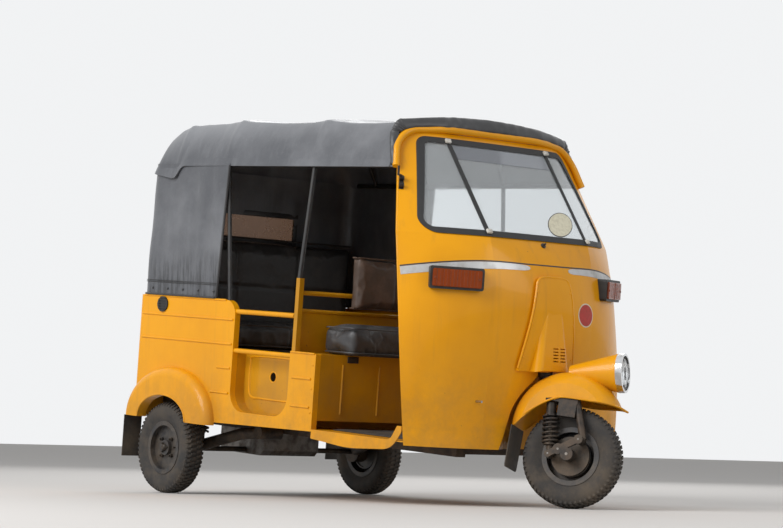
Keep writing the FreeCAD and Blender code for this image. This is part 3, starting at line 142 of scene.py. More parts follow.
class Graph:
    """Small helper that writes one material's node tree."""

    def __init__(self, name: str) -> None:
        """Start a material with a Principled shader.

        Args:
            name: the material's name.
        """
        self.material = bpy.data.materials.new(name)
        self.material.use_nodes = True
        self.tree = self.material.node_tree
        self.shader = self.tree.nodes["Principled BSDF"]
        self.place = self.add("ShaderNodeTexCoord").outputs["Object"]

    def add(self, kind: str, **settings: object) -> bpy.types.Node:
        """Add a node; settings named like sockets are values or links, others are attributes.

        Args:
            kind: the node's type.
            **settings: attributes, or inputs with their spaces written as underscores.

        Returns:
            The new node.
        """
        node = self.tree.nodes.new(kind)
        for key, value in settings.items():
            if hasattr(node, key):
                setattr(node, key, value)
        for key, value in settings.items():
            if not hasattr(node, key):
                self.feed(node.inputs[key.replace("_", " ")], value)
        return node

    def feed(self, socket: bpy.types.NodeSocket, value: object) -> None:
        """Link or set one input."""
        if isinstance(value, bpy.types.NodeSocket):
            self.tree.links.new(value, socket)
        elif isinstance(value, tuple) and len(value) == 3 and socket.type == "RGBA":
            socket.default_value = (*value, 1)
        else:
            socket.default_value = value

    def noise(self, scale: float, detail: float = 4, roughness: float = 0.55,
              vector: object = None) -> bpy.types.NodeSocket:
        """Noise in object space, or in the space of a vector."""
        return self.add("ShaderNodeTexNoise", Vector=vector or self.place, Scale=scale, Detail=detail,
                        Roughness=roughness).outputs["Fac"]

    def stretched(self, across: float, up: float) -> bpy.types.NodeSocket:
        """Object space scaled alike across and otherwise upwards, for streaks."""
        return self.add("ShaderNodeMapping", Vector=self.place, Scale=(across, across, up)).outputs[0]

    def ramp(self, value: bpy.types.NodeSocket, low: float, high: float) -> bpy.types.NodeSocket:
        """Smooth step of a value between two limits."""
        return self.add("ShaderNodeMapRange", interpolation_type="SMOOTHSTEP", Value=value, From_Min=low,
                        From_Max=high).outputs["Result"]

    def over(self, base: object, coat: object, *shares: object) -> bpy.types.NodeSocket:
        """Colour with a coat laid over it.

        Args:
            base: the colour below.
            coat: the colour laid over it.
            *shares: values whose product says how much of the coat shows.

        Returns:
            The blended colour.
        """
        share = shares[0]
        for other in shares[1:]:
            share = self.math("MULTIPLY", share, other)
        node = self.add("ShaderNodeMix", data_type="RGBA")
        for index, value in ((0, share), (6, base), (7, coat)):
            self.feed(node.inputs[index], value)
        return node.outputs[2]

    def math(self, operation: str, first: object, second: object) -> bpy.types.NodeSocket:
        """One arithmetic step."""
        node = self.add("ShaderNodeMath", operation=operation)
        self.feed(node.inputs[0], first)
        self.feed(node.inputs[1], second)
        return node.outputs[0]

    def plus(self, base: object, value: object, share: float) -> bpy.types.NodeSocket:
        """A base value plus a share of another value."""
        return self.math("ADD", base, self.math("MULTIPLY", value, share))

    def height(self) -> bpy.types.NodeSocket:
        """Height over the ground of the shaded point."""
        return self.add("ShaderNodeSeparateXYZ", Vector=self.place).outputs["Z"]

    def bump(self, height: bpy.types.NodeSocket, distance: float, strength: float = 1.0) -> None:
        """Roughen the surface by a height, in metres."""
        previous = self.shader.inputs["Normal"].links
        node = self.add("ShaderNodeBump", Height=height, Distance=distance, Strength=strength)
        if previous:
            self.feed(node.inputs["Normal"], previous[0].from_socket)
        self.feed(self.shader.inputs["Normal"], node.outputs["Normal"])

    def set(self, **values: object) -> None:
        """Set inputs of the shader."""
        for key, value in values.items():
            self.feed(self.shader.inputs[key.replace("_", " ")], value)


@dataclass(frozen=True)
class Paint:
    """Sprayed body colour, faded, dusty towards the ground and chipped here and there."""

    name: str
    colour: Colour
    faded: Colour
    dust: Colour = (0.27, 0.15, 0.045)
    primer: Colour = (0.11, 0.05, 0.03)
    gloss: float = 0.33
    streak_share: float = 0.22
    dust_share: float = 0.50
    dust_heights: Flat = (0.75, 0.18)
    chips: float = 0.745

    def build(self) -> bpy.types.Material:
        """Make the material."""
        g = Graph(self.name)
        colour = g.over(self.colour, self.faded, g.ramp(g.noise(2.2), 0.35, 0.75))
        streaks = g.ramp(g.noise(1.6, 5, 0.6, g.stretched(14, 1.1)), 0.52, 0.8)
        colour = g.over(colour, self.dust, streaks, self.streak_share)
        low = g.ramp(g.height(), *self.dust_heights)
        dusty = g.math("MULTIPLY", low, g.ramp(g.noise(7, 6, 0.7), 0.3, 0.72))
        colour = g.over(colour, self.dust, dusty, self.dust_share)
        chipped = g.ramp(g.noise(34, 3, 0.75), self.chips, self.chips + 0.02)
        colour = g.over(colour, self.primer, chipped)
        rough = g.plus(self.gloss, g.math("ADD", dusty, chipped), 0.35)
        g.set(Base_Color=colour, Roughness=rough, Specular_IOR_Level=0.2, Coat_Weight=0.2,
              Coat_Roughness=0.08)
        g.bump(g.noise(5, 3), 0.004, 0.22)
        g.bump(g.noise(170, 2), 0.0004, 0.25)
        g.bump(g.math("MULTIPLY", chipped, -1.0), 0.0004, 0.8)
        return g.material


@dataclass(frozen=True)
class Coated:
    """Coated cloth of the canopy, with dust, wet streaks, fine creases and a painted highlight that makes it
    paler towards the top.
    """

    name: str
    colour: Colour
    dusty: Colour
    gloss: float = 0.42
    crease: float = 0.006
    painted_top_highlight: float = 0.0
    pale: Colour = (0.36, 0.37, 0.39)
    grime: Colour = (0.012, 0.012, 0.013)
    streak_share: float = 0.45
    speck_share: float = 0.30
    grime_share: float = 0.75
    highlight_heights: Flat = (1.52, 1.74)
    grime_heights: Flat = (1.12, 0.96)

    def build(self) -> bpy.types.Material:
        """Make the material."""
        g = Graph(self.name)
        patches = g.ramp(g.noise(3.1, 6, 0.62), 0.36, 0.78)
        colour = g.over(self.colour, self.dusty, patches)
        streaked = g.stretched(9, 0.9)
        streaks = g.ramp(g.noise(2.0, 4, 0.6, streaked), 0.5, 0.78)
        colour = g.over(colour, self.dusty, streaks, self.streak_share)
        specks = g.ramp(g.noise(120, 2), 0.62, 0.7)
        colour = g.over(colour, self.dusty, specks, self.speck_share)
        # Painted highlight: the cloth turns paler towards the top of the roof, as if lit from above by the
        # sky.
        colour = g.over(colour, self.pale, g.ramp(g.height(), *self.highlight_heights), self.painted_top_highlight)
        stains = g.ramp(g.noise(5.5, 5, 0.7, streaked), 0.44, 0.60)
        colour = g.over(colour, self.grime, g.ramp(g.height(), *self.grime_heights), stains,
                        self.grime_share)
        g.set(Base_Color=colour, Roughness=g.plus(self.gloss, patches, 0.2), Sheen_Weight=0.15,
              Sheen_Roughness=0.5)
        g.bump(g.noise(6, 5, 0.6), self.crease, 0.55)
        g.bump(g.noise(420, 2), 0.0003, 0.5)
        return g.material


@dataclass(frozen=True)
class Worn:
    """Metal, rubber or plastic with two tones, grime near the ground and a fine surface."""

    name: str
    colour: Colour
    second: Colour
    rough: float = 0.5
    metal: float = 0.0
    grain: float = 30.0
    relief: float = 0.0006
    dust: Colour = (0.22, 0.16, 0.10)
    dust_share: float = 0.35
    dust_heights: Flat = (0.6, 0.1)

    def build(self) -> bpy.types.Material:
        """Make the material."""
        g = Graph(self.name)
        patches = g.ramp(g.noise(self.grain, 5, 0.65), 0.38, 0.7)
        spots = g.ramp(g.noise(self.grain * 0.4, 5, 0.7), 0.3, 0.75)
        colour = g.over(self.colour, self.second, patches)
        colour = g.over(colour, self.dust, g.ramp(g.height(), *self.dust_heights), spots, self.dust_share)
        g.set(Base_Color=colour, Roughness=g.plus(self.rough, patches, 0.15), Metallic=self.metal)
        g.bump(g.noise(self.grain * 6, 3), self.relief, 0.6)
        return g.material


@dataclass(frozen=True)
class Hide:
    """Grained seat cover, rubbed bright where it is sat on."""

    name: str
    colour: Colour
    rubbed: Colour
    rough: float = 0.42
    grain: float = 260.0

    def build(self) -> bpy.types.Material:
        """Make the material."""
        g = Graph(self.name)
        worn = g.ramp(g.noise(9, 5, 0.65), 0.45, 0.75)
        cells = g.add("ShaderNodeTexVoronoi", feature="DISTANCE_TO_EDGE", Vector=g.place, Scale=self.grain)
        g.set(Base_Color=g.over(self.colour, self.rubbed, worn), Roughness=g.plus(self.rough, worn, 0.2))
        g.bump(cells.outputs["Distance"], 0.0012, 0.5)
        g.bump(g.noise(22, 4), 0.004, 0.3)
        return g.material


@dataclass(frozen=True)
class Clear:
    """Glass or clear plastic, slightly dusty."""

    name: str
    tint: Colour
    rough: float = 0.02
    ribs: float = 0.0
    solid: float = 0.0
    refraction: float = 1.45

    def build(self) -> bpy.types.Material:
        """Make the material."""
        g = Graph(self.name)
        smear = g.ramp(g.noise(8, 6, 0.7), 0.4, 0.8)
        g.set(Base_Color=self.tint, Roughness=g.plus(self.rough, smear, 0.08),
              Transmission_Weight=1.0 - self.solid, IOR=self.refraction)
        if self.ribs:
            wave = g.add("ShaderNodeTexWave", bands_direction="Y", Vector=g.place, Scale=self.ribs)
            g.bump(wave.outputs["Fac"], 0.002, 0.5)
        return g.material


class Finish(Enum):
    """Every finish of the vehicle."""

    YELLOW = Paint("Body yellow", (0.80, 0.345, 0.001), (0.70, 0.290, 0.002))
    # Darker copy of the body yellow: painted shade for the seat box, partition, rest bar and step recess.
    YELLOW_PAINTED_SHADE = Paint("Yellow painted shade", (0.60, 0.27, 0.004), (0.42, 0.19, 0.006), chips=0.72)
    # The canopy cloth carries a painted highlight that makes its top paler.
    CANOPY = Coated("Canopy cloth", (0.068, 0.072, 0.082), (0.150, 0.155, 0.168), 0.34, painted_top_highlight=0.55)
    EDGING = Coated("Canopy edging", (0.018, 0.018, 0.020), (0.050, 0.050, 0.052), 0.36, 0.002)
    BLACK = Worn("Black paint", (0.012, 0.012, 0.013), (0.030, 0.027, 0.024), 0.38)
    STEEL = Worn("Greasy steel", (0.020, 0.018, 0.017), (0.075, 0.055, 0.042), 0.5, 0.55, 24)
    RIM = Worn("Rim paint", (0.022, 0.023, 0.027), (0.060, 0.058, 0.056), 0.45, 0.3, 26)
    TYRE = Worn("Tyre rubber", (0.016, 0.016, 0.017), (0.040, 0.037, 0.034), 0.75, 0.0, 18, 0.0008)
    RUBBER = Worn("Seal rubber", (0.010, 0.010, 0.011), (0.022, 0.022, 0.022), 0.6, 0.0, 40)
    FLAP = Worn("Flap rubber", (0.018, 0.017, 0.017), (0.050, 0.043, 0.036), 0.7, 0.0, 14, 0.001)
    PLASTIC = Worn("Lamp plastic", (0.014, 0.014, 0.014), (0.030, 0.028, 0.026), 0.45, 0.0, 30, 0.0003)
    BRIGHT = Worn("Bright metal", (0.55, 0.55, 0.55), (0.34, 0.33, 0.31), 0.22, 1.0, 20, 0.0002)
    SILVER = Worn("Silver tape", (0.50, 0.50, 0.50), (0.36, 0.35, 0.33), 0.32, 0.35, 12, 0.0003)
    CHROME = Worn("Chrome", (0.72, 0.72, 0.73), (0.45, 0.44, 0.42), 0.10, 1.0, 16, 0.0001)
    ALLOY = Worn("Cast alloy", (0.24, 0.23, 0.22), (0.10, 0.09, 0.08), 0.55, 0.8, 18, 0.001)
    WHITE = Worn("White clip", (0.62, 0.60, 0.55), (0.42, 0.39, 0.34), 0.5, 0.0, 40)
    STICKER = Worn("Red sticker", (0.46, 0.030, 0.022), (0.36, 0.045, 0.030), 0.5, 0.0, 60, 0.0002)
    CREAM = Worn("Cream sticker", (0.72, 0.68, 0.52), (0.60, 0.56, 0.42), 0.5, 0.0, 60, 0.0002)
    AMBER_DARK = Worn("Amber ribs", (0.22, 0.035, 0.006), (0.12, 0.03, 0.008), 0.3, 0.0, 40, 0.0002)
    BROWN = Hide("Brown seat cover", (0.060, 0.036, 0.024), (0.125, 0.075, 0.050))
    GREY_HIDE = Hide("Grey seat cover", (0.040, 0.040, 0.042), (0.085, 0.083, 0.080))
    DARK_HIDE = Hide("Black seat cover", (0.016, 0.015, 0.015), (0.045, 0.042, 0.040))
    GLASS = Clear("Screen glass", (0.80, 0.84, 0.86), 0.02, 0.0, 0.22)
    BAND = Clear("Tinted band", (0.34, 0.36, 0.40), 0.1, 0.0, 0.45)
    FILM = Clear("Window film", (0.17, 0.10, 0.065), 0.25, 0.0, 0.25)
    LAMP = Clear("Lamp glass", (0.93, 0.95, 0.96), 0.03, 9)
    AMBER = Clear("Amber lens", (0.34, 0.055, 0.004), 0.08, 14, 0.7)
    RED = Clear("Red lens", (0.55, 0.012, 0.010), 0.12, 14, 0.55)

    @property
    def material(self) -> bpy.types.Material:
        """The built material, made once."""
        return bpy.data.materials.get(self.value.name) or self.value.build()


# Mesh tools

class Sketch:
    """Mesh under construction; every shape added goes into one object."""

    def __init__(self) -> None:
        """Start empty."""
        self.mesh = bmesh.new()

    def surface(self, rows: list[list[Vector]], close_u: bool = False, close_v: bool = False) -> None:
        """Skin a grid of points.

        Args:
            rows: the points, row by row.
            close_u: join the end of each row to its start.
            close_v: join the last row to the first.
        """
        grid = [[self.mesh.verts.new(p) for p in row] for row in rows]
        count_v, count_u = len(grid), len(grid[0])
        for i in range(count_v if close_v else count_v - 1):
            for j in range(count_u if close_u else count_u - 1):
                a, b = grid[i], grid[(i + 1) % count_v]
                k = (j + 1) % count_u
                self.mesh.faces.new((a[j], a[k], b[k], b[j]))

    def cap(self, loop: list[Vector]) -> None:
        """Fill one flat loop."""
        self.mesh.faces.new([self.mesh.verts.new(p) for p in loop])

    def lathe(self, profile: list[Flat], segments: int = 64,
              frame: Matrix = Matrix()) -> None:
        """Turn a profile of (radius, along) about the y axis of a frame.

        Args:
            profile: points of radius and place along the axis.
            segments: steps round the turn.
            frame: the matrix that sets the shape in place.
        """
        self.surface([[frame @ Vector((r * c, y, r * s)) for r, y in profile] for c, s in circle(segments)],
                     close_v=True)

    def tube(self, places: list[Point], radius: float, segments: int = 12, caps: bool = True) -> None:
        """Sweep a circle along a path without twisting.

        Args:
            places: points of the centreline.
            radius: the tube's radius.
            segments: points round the tube.
            caps: close both ends.
        """
        path, rings, across = [Vector(p) for p in places], [], None
        for i, point in enumerate(path):
            ahead = (path[min(i + 1, len(path) - 1)] - path[max(i - 1, 0)]).normalized()
            if across is None:
                across = ahead.orthogonal().normalized()
            across = (across - ahead * across.dot(ahead)).normalized()
            other = ahead.cross(across)
            rings.append([point + (across * c + other * s) * radius for c, s in circle(segments)])
        self.pipe(rings, caps)

    def pipe(self, rings: list[list[Vector]], caps: bool = True) -> None:
        """Skin closed rings, and close both ends if asked."""
        self.surface(rings, close_u=True)
        if caps:
            self.cap(list(reversed(rings[0])))
            self.cap(rings[-1])

    def block(self, low: Point, high: Point, frame: Matrix = Matrix(), bevel: float = 0.0,
              steps: int = 3) -> None:
        """Add a box with rounded edges.

        Args:
            low: lowest corner.
            high: highest corner.
            frame: the matrix that sets the box in place.
            bevel: rounding of its edges.
            steps: segments of the rounding.
        """
        part = bmesh.new()
        bmesh.ops.create_cube(part, size=1)
        size = Vector(high) - Vector(low)
        part.transform(Matrix.Translation((Vector(high) + Vector(low)) / 2) @ Matrix.Diagonal((*size, 1)))
        if bevel:
            bmesh.ops.bevel(part, geom=part.edges[:], offset=bevel, segments=steps, profile=0.5,
                            affect="EDGES")
        part.transform(frame)
        self.take(part)

    def prism(self, outline: list[Vector], run: Vector, bevel: float = 0.0) -> None:
        """Sweep a flat outline along a vector, its rims rounded."""
        part = bmesh.new()
        face = part.faces.new([part.verts.new(p) for p in outline])
        swept = bmesh.ops.extrude_face_region(part, geom=[face])
        tops = [v for v in swept["geom"] if isinstance(v, bmesh.types.BMVert)]
        bmesh.ops.translate(part, verts=tops, vec=run)
        bmesh.ops.recalc_face_normals(part, faces=part.faces[:])
        if bevel:
            ahead = run.normalized()
            rims = [e for e in part.edges
                    if abs((e.verts[0].co - e.verts[1].co).normalized().dot(ahead)) < 0.5]
            bmesh.ops.bevel(part, geom=rims, offset=bevel, segments=2, profile=0.5, affect="EDGES")
        self.take(part)

    def take(self, part: bmesh.types.BMesh) -> None:
        """Copy another mesh into this one."""
        data = bpy.data.meshes.new("part")
        part.to_mesh(data)
        part.free()
        self.mesh.from_mesh(data)
        bpy.data.meshes.remove(data)

    def object(self, name: str, finish: Finish, frame: Matrix = Matrix(),
               weld: bool = True) -> bpy.types.Object:
        """Turn the sketch into an object that sits at the origin.

        Args:
            name: the object's name.
            finish: its finish.
            frame: the matrix from the drawing frame to the row frame.
            weld: merge doubles and point the faces outwards.

        Returns:
            The new object.
        """
        self.mesh.transform(frame)
        if weld:
            bmesh.ops.remove_doubles(self.mesh, verts=self.mesh.verts[:], dist=1e-6)
            bmesh.ops.recalc_face_normals(self.mesh, faces=self.mesh.faces[:])
        data = bpy.data.meshes.new(name)
        self.mesh.to_mesh(data)
        self.mesh.free()
        made = linked(name, data)
        data.materials.append(finish.material)
        soften(made)
        return made

    def piece(self, name: str, finish: Finish, slot: str, frame: Matrix, body: Body = Body.BODY,
              replaces: tuple[str, ...] = (), weld: bool = True) -> bpy.types.Object:
        """Turn the sketch into a finished piece of a body.

        Args:
            name: the piece's name.
            finish: its finish.
            slot: the record's material slot; not used.
            frame: the matrix from the drawing frame to the row frame.
            body: the body it rides on.
            replaces: CAD nodes that it stands for.
            weld: merge doubles and point the faces outwards.

        Returns:
            The piece.
        """
        return seat(self.object(name, finish, frame, weld), body, replaces)


def linked(name: str, data: bpy.types.ID) -> bpy.types.Object:
    """New object of some data, linked into the scene."""
    made = bpy.data.objects.new(name, data)
    bpy.context.scene.collection.objects.link(made)
    return made


def soften(made: bpy.types.Object, angle: float = 38.0) -> None:
    """Shade smooth up to a crease angle, in degrees."""
    made.data.shade_smooth()
    made.data.set_sharp_from_angle(angle=math.radians(angle))


def seat(made: bpy.types.Object, body: Body, replaces: tuple[str, ...] = ()) -> bpy.types.Object:
    """Hand a finished piece to its body.

    Args:
        made: the piece.
        body: the body it rides on.
        replaces: CAD nodes that it stands for.

    Returns:
        The same piece.
    """
    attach(made, body.value)
    if replaces:
        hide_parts(*replaces)
    LOG.info("piece %s on %s", made.name, body.value)
    return made


def flatten(made: bpy.types.Object) -> bpy.types.Object:
    """Replace a piece's modifiers by the mesh that they make."""
    graph = bpy.context.evaluated_depsgraph_get()
    data = bpy.data.meshes.new_from_object(made.evaluated_get(graph))
    made.modifiers.clear()
    made.data = data
    return made


def circle(count: int, shift: float = 0.0) -> list[Flat]:
    """Cosine and sine at even steps round a circle, the first one shifted by a share of a step."""
    angles = [math.tau * (i + shift) / count for i in range(count)]
    return [(math.cos(a), math.sin(a)) for a in angles]


def arc(start: float, end: float, count: int) -> list[float]:
    """Evenly spaced values, both ends included."""
    return [start + (end - start) * i / (count - 1) for i in range(count)]


def lerp(table: list[tuple[float, ...]], x: float) -> tuple[float, ...]:
    """Row of a table interpolated by its first column, held at both ends."""
    rows = sorted(table)
    if x <= rows[0][0]:
        return rows[0]
    for a, b in zip(rows, rows[1:]):
        if x <= b[0]:
            t = (x - a[0]) / (b[0] - a[0])
            return tuple(p + (q - p) * t for p, q in zip(a, b))
    return rows[-1]


def ripple(size: float, *place: float) -> float:
    """Smooth random height at a place, about as large as the size."""
    return noise.noise(Vector(place)) * size


class Skin:
    """Outer surface of some CAD nodes, asked where a ray meets it, in the level body frame."""

    def __init__(self, nodes: dict[str, bpy.types.Object], names: tuple[str, ...], frame: Matrix) -> None:
        """Gather the nodes' faces.

        Args:
            nodes: the frame's node objects by name.
            names: which of them to gather.
            frame: the matrix from the drawing frame to the row frame.
        """
        inverse, points, faces = frame.inverted(), [], []
        for name in names:
            made, first = nodes[name], len(points)
            points += [inverse @ made.matrix_world @ v.co for v in made.data.vertices]
            faces += [[first + i for i in p.vertices] for p in made.data.polygons]
        self.tree = BVHTree.FromPolygons(points, faces)

    def hit(self, start: Vector, run: Vector) -> tuple[Vector, Vector]:
        """Where a ray meets the surface, and the normal there, facing the ray.

        Args:
            start: the ray's start.
            run: its direction.

        Returns:
            The point and the unit normal.
        """
        point, normal, _, _ = self.tree.ray_cast(start, run.normalized())
        if point is None:
            raise ValueError(f"no surface seen from {start}")
        return point, -normal if normal.dot(run) > 0 else normal

    def ahead(self, y: float, z: float) -> tuple[Vector, Vector]:
        """Point and normal at a place across and a height, seen from ahead."""
        return self.hit(Vector((2.6, y, z)), Vector((-1, 0, 0)))

    def beside(self, x: float, z: float, side: int) -> tuple[Vector, Vector]:
        """Point and normal at a place along and a height, seen from one side."""
        return self.hit(Vector((x, side * 1.2, z)), Vector((0, -side, 0)))


def facing(place: Vector, normal: Vector, axis: str, up: str) -> Matrix:
    """Frame at a place, one of its axes along a normal and another one upwards."""
    return Matrix.Translation(place) @ normal.to_track_quat(axis, up).to_matrix().to_4x4()


# Canopy and curtain

@dataclass
class Canopy:
    """Cloth roof over the hoops, with the curtain round the back."""

    stance: Stance
    low_edge: float = 1.505
    front: float = 1.400
    back: float = -0.291
    crown: float = 1.740
    sag: float = 0.017
    rear_turn: float = 0.074
    hoops: tuple[float, ...] = (-0.076, 0.300, 0.880, 1.38)
    curtain_low: float = 0.914
    curtain_front: float = 0.338
    curtain_rear: float = -0.298
    curtain_lean: float = 0.016
    brow: float = 1.655
    thickness: float = 0.003
    roll: float = 0.0105
    side_steps: int = 14
    top_steps: int = 26
    stations: list[tuple[float, ...]] = field(default_factory=list)

    def __post_init__(self) -> None:
        """Work out the cross-sections: x, half below, half at the shoulder, shoulder, crown."""
        top = self.crown
        self.stations = [
            (self.front, 0.536, 0.470, top - 0.036, top),
            (0.300, 0.600, 0.512, top - 0.024, top - 0.002),
            (0.020, 0.605, 0.512, top - 0.030, top - 0.006),
            (-0.060, 0.609, 0.510, top - 0.040, top - 0.020),
            (-0.160, 0.609, 0.506, top - 0.064, top - 0.046),
            (self.back, 0.608, 0.500, top - 0.130, top - 0.116),
        ]

    def low(self, x: float) -> float:
        """Height of the roof's hem, which hangs lower as a flap round the rear corners."""
        return lerp([(self.back, 1.474), (-0.110, 1.449), (-0.086, 1.447), (-0.066, 1.456), (-0.048, 1.480),
                     (-0.030, 1.499), (-0.010, self.low_edge)], x)[1]

    @property
    def count(self) -> int:
        """Points over the roof at one place along the vehicle."""
        return 2 * self.side_steps + self.top_steps - 2

    def point(self, x: float, index: float, lift: float = 0.0) -> Vector:
        """Point of the roof cloth.

        Args:
            x: place along the vehicle.
            index: place round the section, 0 at the right hem.
            lift: distance outside the cloth's outer face.

        Returns:
            The point in the body frame.
        """
        _, low_half, shoulder, shoulder_z, crown_z = lerp(self.stations, x)
        last = self.count - 1
        mirror = 1.0 if index > last / 2 else -1.0
        index = min(index, last - index)
        low_half, shoulder = low_half + lift, shoulder + lift * 0.8
        slack = self.slack(x)
        shoulder -= slack * 0.7
        shoulder_z, crown_z = shoulder_z + lift - slack * 0.6, crown_z + lift - slack
        if index < self.side_steps - 1:
            turn = (low_half * 0.3 + shoulder * 0.7 + 0.013, self.low_edge * 0.28 + shoulder_z * 0.72)
            share = index / (self.side_steps - 1)
            y, z = quad_arc((low_half, self.low(x)), turn, (shoulder, shoulder_z), share)
        else:
            share = (index - self.side_steps + 1) / (self.top_steps - 1)
            y, z = quad_arc((shoulder, shoulder_z), (0, crown_z), (-shoulder, shoulder_z), share)
        inside = max(0.0, self.rear_turn - (x - self.back))
        turn_in = self.rear_turn - math.sqrt(max(0.0, self.rear_turn ** 2 - inside ** 2))
        return Vector((x, mirror * (y - turn_in * max(0.0, y / low_half)), z))

    def slack(self, x: float) -> float:
        """How far the cloth hangs below the hoops' line."""
        for a, b in zip(self.hoops, self.hoops[1:]):
            if a < x < b:
                return self.sag * math.sin(math.pi * (x - a) / (b - a)) ** 0.8
        return 0.0

    def front_edge(self, index: float) -> float:
        """Where the roof's front edge lies, so that it follows the gutter and the pillars."""
        p = self.point(self.front, index)
        if p.z > self.brow:
            return lerp([(0.0, 1.392), (0.277, 1.384), (0.400, 1.360), (0.520, 1.328)], abs(p.y))[1]
        return 1.328 + (self.brow - p.z) * 0.45

    def roof(self) -> bpy.types.Object:
        """Roof sheet with creases running down from the hoops and a closed gable behind."""
        sketch, rows, fronts = Sketch(), [], [self.front_edge(i) for i in range(self.count)]
        for share in [t ** 1.25 for t in arc(1, 0, 110)]:
            row = []
            for i in range(self.count):
                p = self.point(self.back + (fronts[i] - self.back) * share, i)
                side = abs(i / (self.count - 1) - 0.5) * 2
                crease = ripple(0.005, p.x * 7, side * 3, p.y * 2)
                crease += ripple(0.0025, p.x * 26, 7.0, side * 1.4) * side
                for hoop in self.hoops[:3]:
                    crease += 0.0055 * math.exp(-((p.x - hoop) / 0.014) ** 2)
                row.append(p + Vector((0, math.copysign(crease * side, p.y), crease * (1 - side))))
            rows.append(row)
        gable, hem = rows[-1], self.low(self.back)
        for share in (0.12, 0.35, 0.65, 1.0):
            bow = -0.006 * math.sin(math.pi * share) + 0.004 * share
            rows.append([Vector((self.back + bow, p.y * (1 - 0.015 * share), p.z + (hem - p.z) * share))
                         for p in gable])
        sketch.surface(rows)
        return thick(sketch.object("canopy_cloth", Finish.CANOPY, self.stance.body), self.thickness)

    def gutter(self, p: Vector) -> Vector:
        """Point of the gutter roll's outer side that lies under a point of the roof's front edge."""
        sign = math.copysign(1, p.y)
        if p.z > self.brow:
            table = [(0.0, 1.404, 1.684), (0.27, 1.401, 1.683), (0.40, 1.372, 1.674), (0.47, 1.350, 1.652)]
            y = min(abs(p.y) * 0.95, 0.470)
            _, x, z = lerp(table, y)
            return Vector((x + 0.004, sign * y, z + 0.013))
        share = (self.brow - p.z) / 0.147
        return Vector((1.350 + 0.056 * share, sign * (0.488 + 0.048 * share), p.z))

    def edging(self) -> bpy.types.Object:
        """Bunched black cloth from the roof's front edge down to the gutter."""
        sketch, pairs, rings = Sketch(), [], []
        for i in arc(0.4, self.count - 1.4, 300):
            p = self.point(self.front_edge(i), i, self.thickness)
            pairs.append((p, self.gutter(p)))
        for k, (upper, lower) in enumerate(pairs):
            run = (pairs[min(k + 1, len(pairs) - 1)][0] - pairs[max(k - 1, 0)][0]).normalized()
            reach = upper - lower
            reach -= run * run.dot(reach)
            centre, half = (upper + lower) / 2, reach.length / 2 + 0.007
            along, out = reach.normalized(), run.cross(reach).normalized()
            ring = []
            for c, s in circle(16):
                fold = 1 + ripple(0.20, k * 0.14, c * 1.3, s * 1.3)
                fold += 0.10 * math.sin(k * 0.50 + 2 * math.sin(k * 0.11))
                ring.append(centre + along * c * half * (0.9 + 0.1 * fold) + out * s * self.roll * fold)
            rings.append(ring)
        sketch.pipe(rings)
        return sketch.piece("canopy_edging", Finish.EDGING, "black_canopy", self.stance.body)

    def hems(self) -> bpy.types.Object:
        """Doubled hems along the roof's sides."""
        sketch = Sketch()
        for side, sign in ((0, -1), (self.count - 1, 1)):
            tuck, rows = Vector((0, sign * 0.005, 0)), []
            for x in arc(self.back + 0.01, self.front_edge(side) - 0.02, 90):
                lift = 0.0035 + ripple(0.0012, x * 30, side, 0)
                low, high = self.point(x, side, lift), self.point(x, abs(side - 1.2), lift)
                rows.append([low - tuck, low, high, high - tuck])
            sketch.surface(rows)
        return sketch.piece("canopy_hems", Finish.CANOPY, "black_canopy", self.stance.body)

    def curtain_back(self, up: float) -> float:
        """Where the curtain's back hangs, up from hem to top; it leans a little forward."""
        return self.curtain_rear + self.curtain_lean * up

    def curtain_point(self, along: float, up: float) -> Vector:
        """Point of the curtain; along runs 0 to 1 round the U, up from hem to top."""
        z = self.curtain_low + (self.low_edge + 0.010 - self.curtain_low) * up
        back, half, corner = self.curtain_back(up), 0.602 - 0.001 * up, 0.072
        front = self.curtain_front - 0.034 * (1 - up)
        run, bend = front - back - corner, corner * math.pi / 2
        total = 2 * (run + bend + half - corner)
        s, mirror = along * total, -1.0
        if s > total / 2:
            s, mirror = total - s, 1.0
        if s < run:
            x, y = front - s, half
        elif s < run + bend:
            a = (s - run) / corner
            x, y = back + corner - corner * math.sin(a), half - corner + corner * math.cos(a)
        else:
            x, y = back, half - corner - (s - run - bend)
        return Vector((x, mirror * y, z))

    def curtain(self) -> bpy.types.Object:
        """Curtain sheet with soft vertical folds and the rear window cut out."""
        sketch, rows = Sketch(), []
        for u in arc(0, 1, 41):
            row = []
            for a in arc(0, 1, 201):
                p = self.curtain_point(a, u)
                middle = math.sin(math.pi * u) ** 0.5
                swell = ripple(0.009, a * 9, u * 2.2, 3.0) + ripple(0.004, a * 34, u * 3, 8.0)
                swell += 0.003 * math.sin(a * 90 + ripple(3, a * 8, u * 2, 1.0)) * (u ** 2)
                p += self.outwards(p).normalized() * swell * middle
                row.append(p)
            rows.append(row)
        sketch.surface(rows)
        middles = {f: f.calc_center_median() for f in sketch.mesh.faces}
        hole = [f for f, p in middles.items() if p.x < -0.2 and abs(p.y) < 0.25 and 1.207 < p.z < 1.324]
        bmesh.ops.delete(sketch.mesh, geom=hole, context="FACES")
        return thick(sketch.object("rear_curtain_cloth", Finish.CANOPY, self.stance.body), self.thickness)

    @staticmethod
    def outwards(p: Vector, back: float = -0.2, side: float = 0.53) -> Vector:
        """Step outwards from the curtain's back, its side or both, where a point lies on them."""
        return Vector((-1 if p.x < back else 0, math.copysign(1, p.y) if abs(p.y) > side else 0, 0))

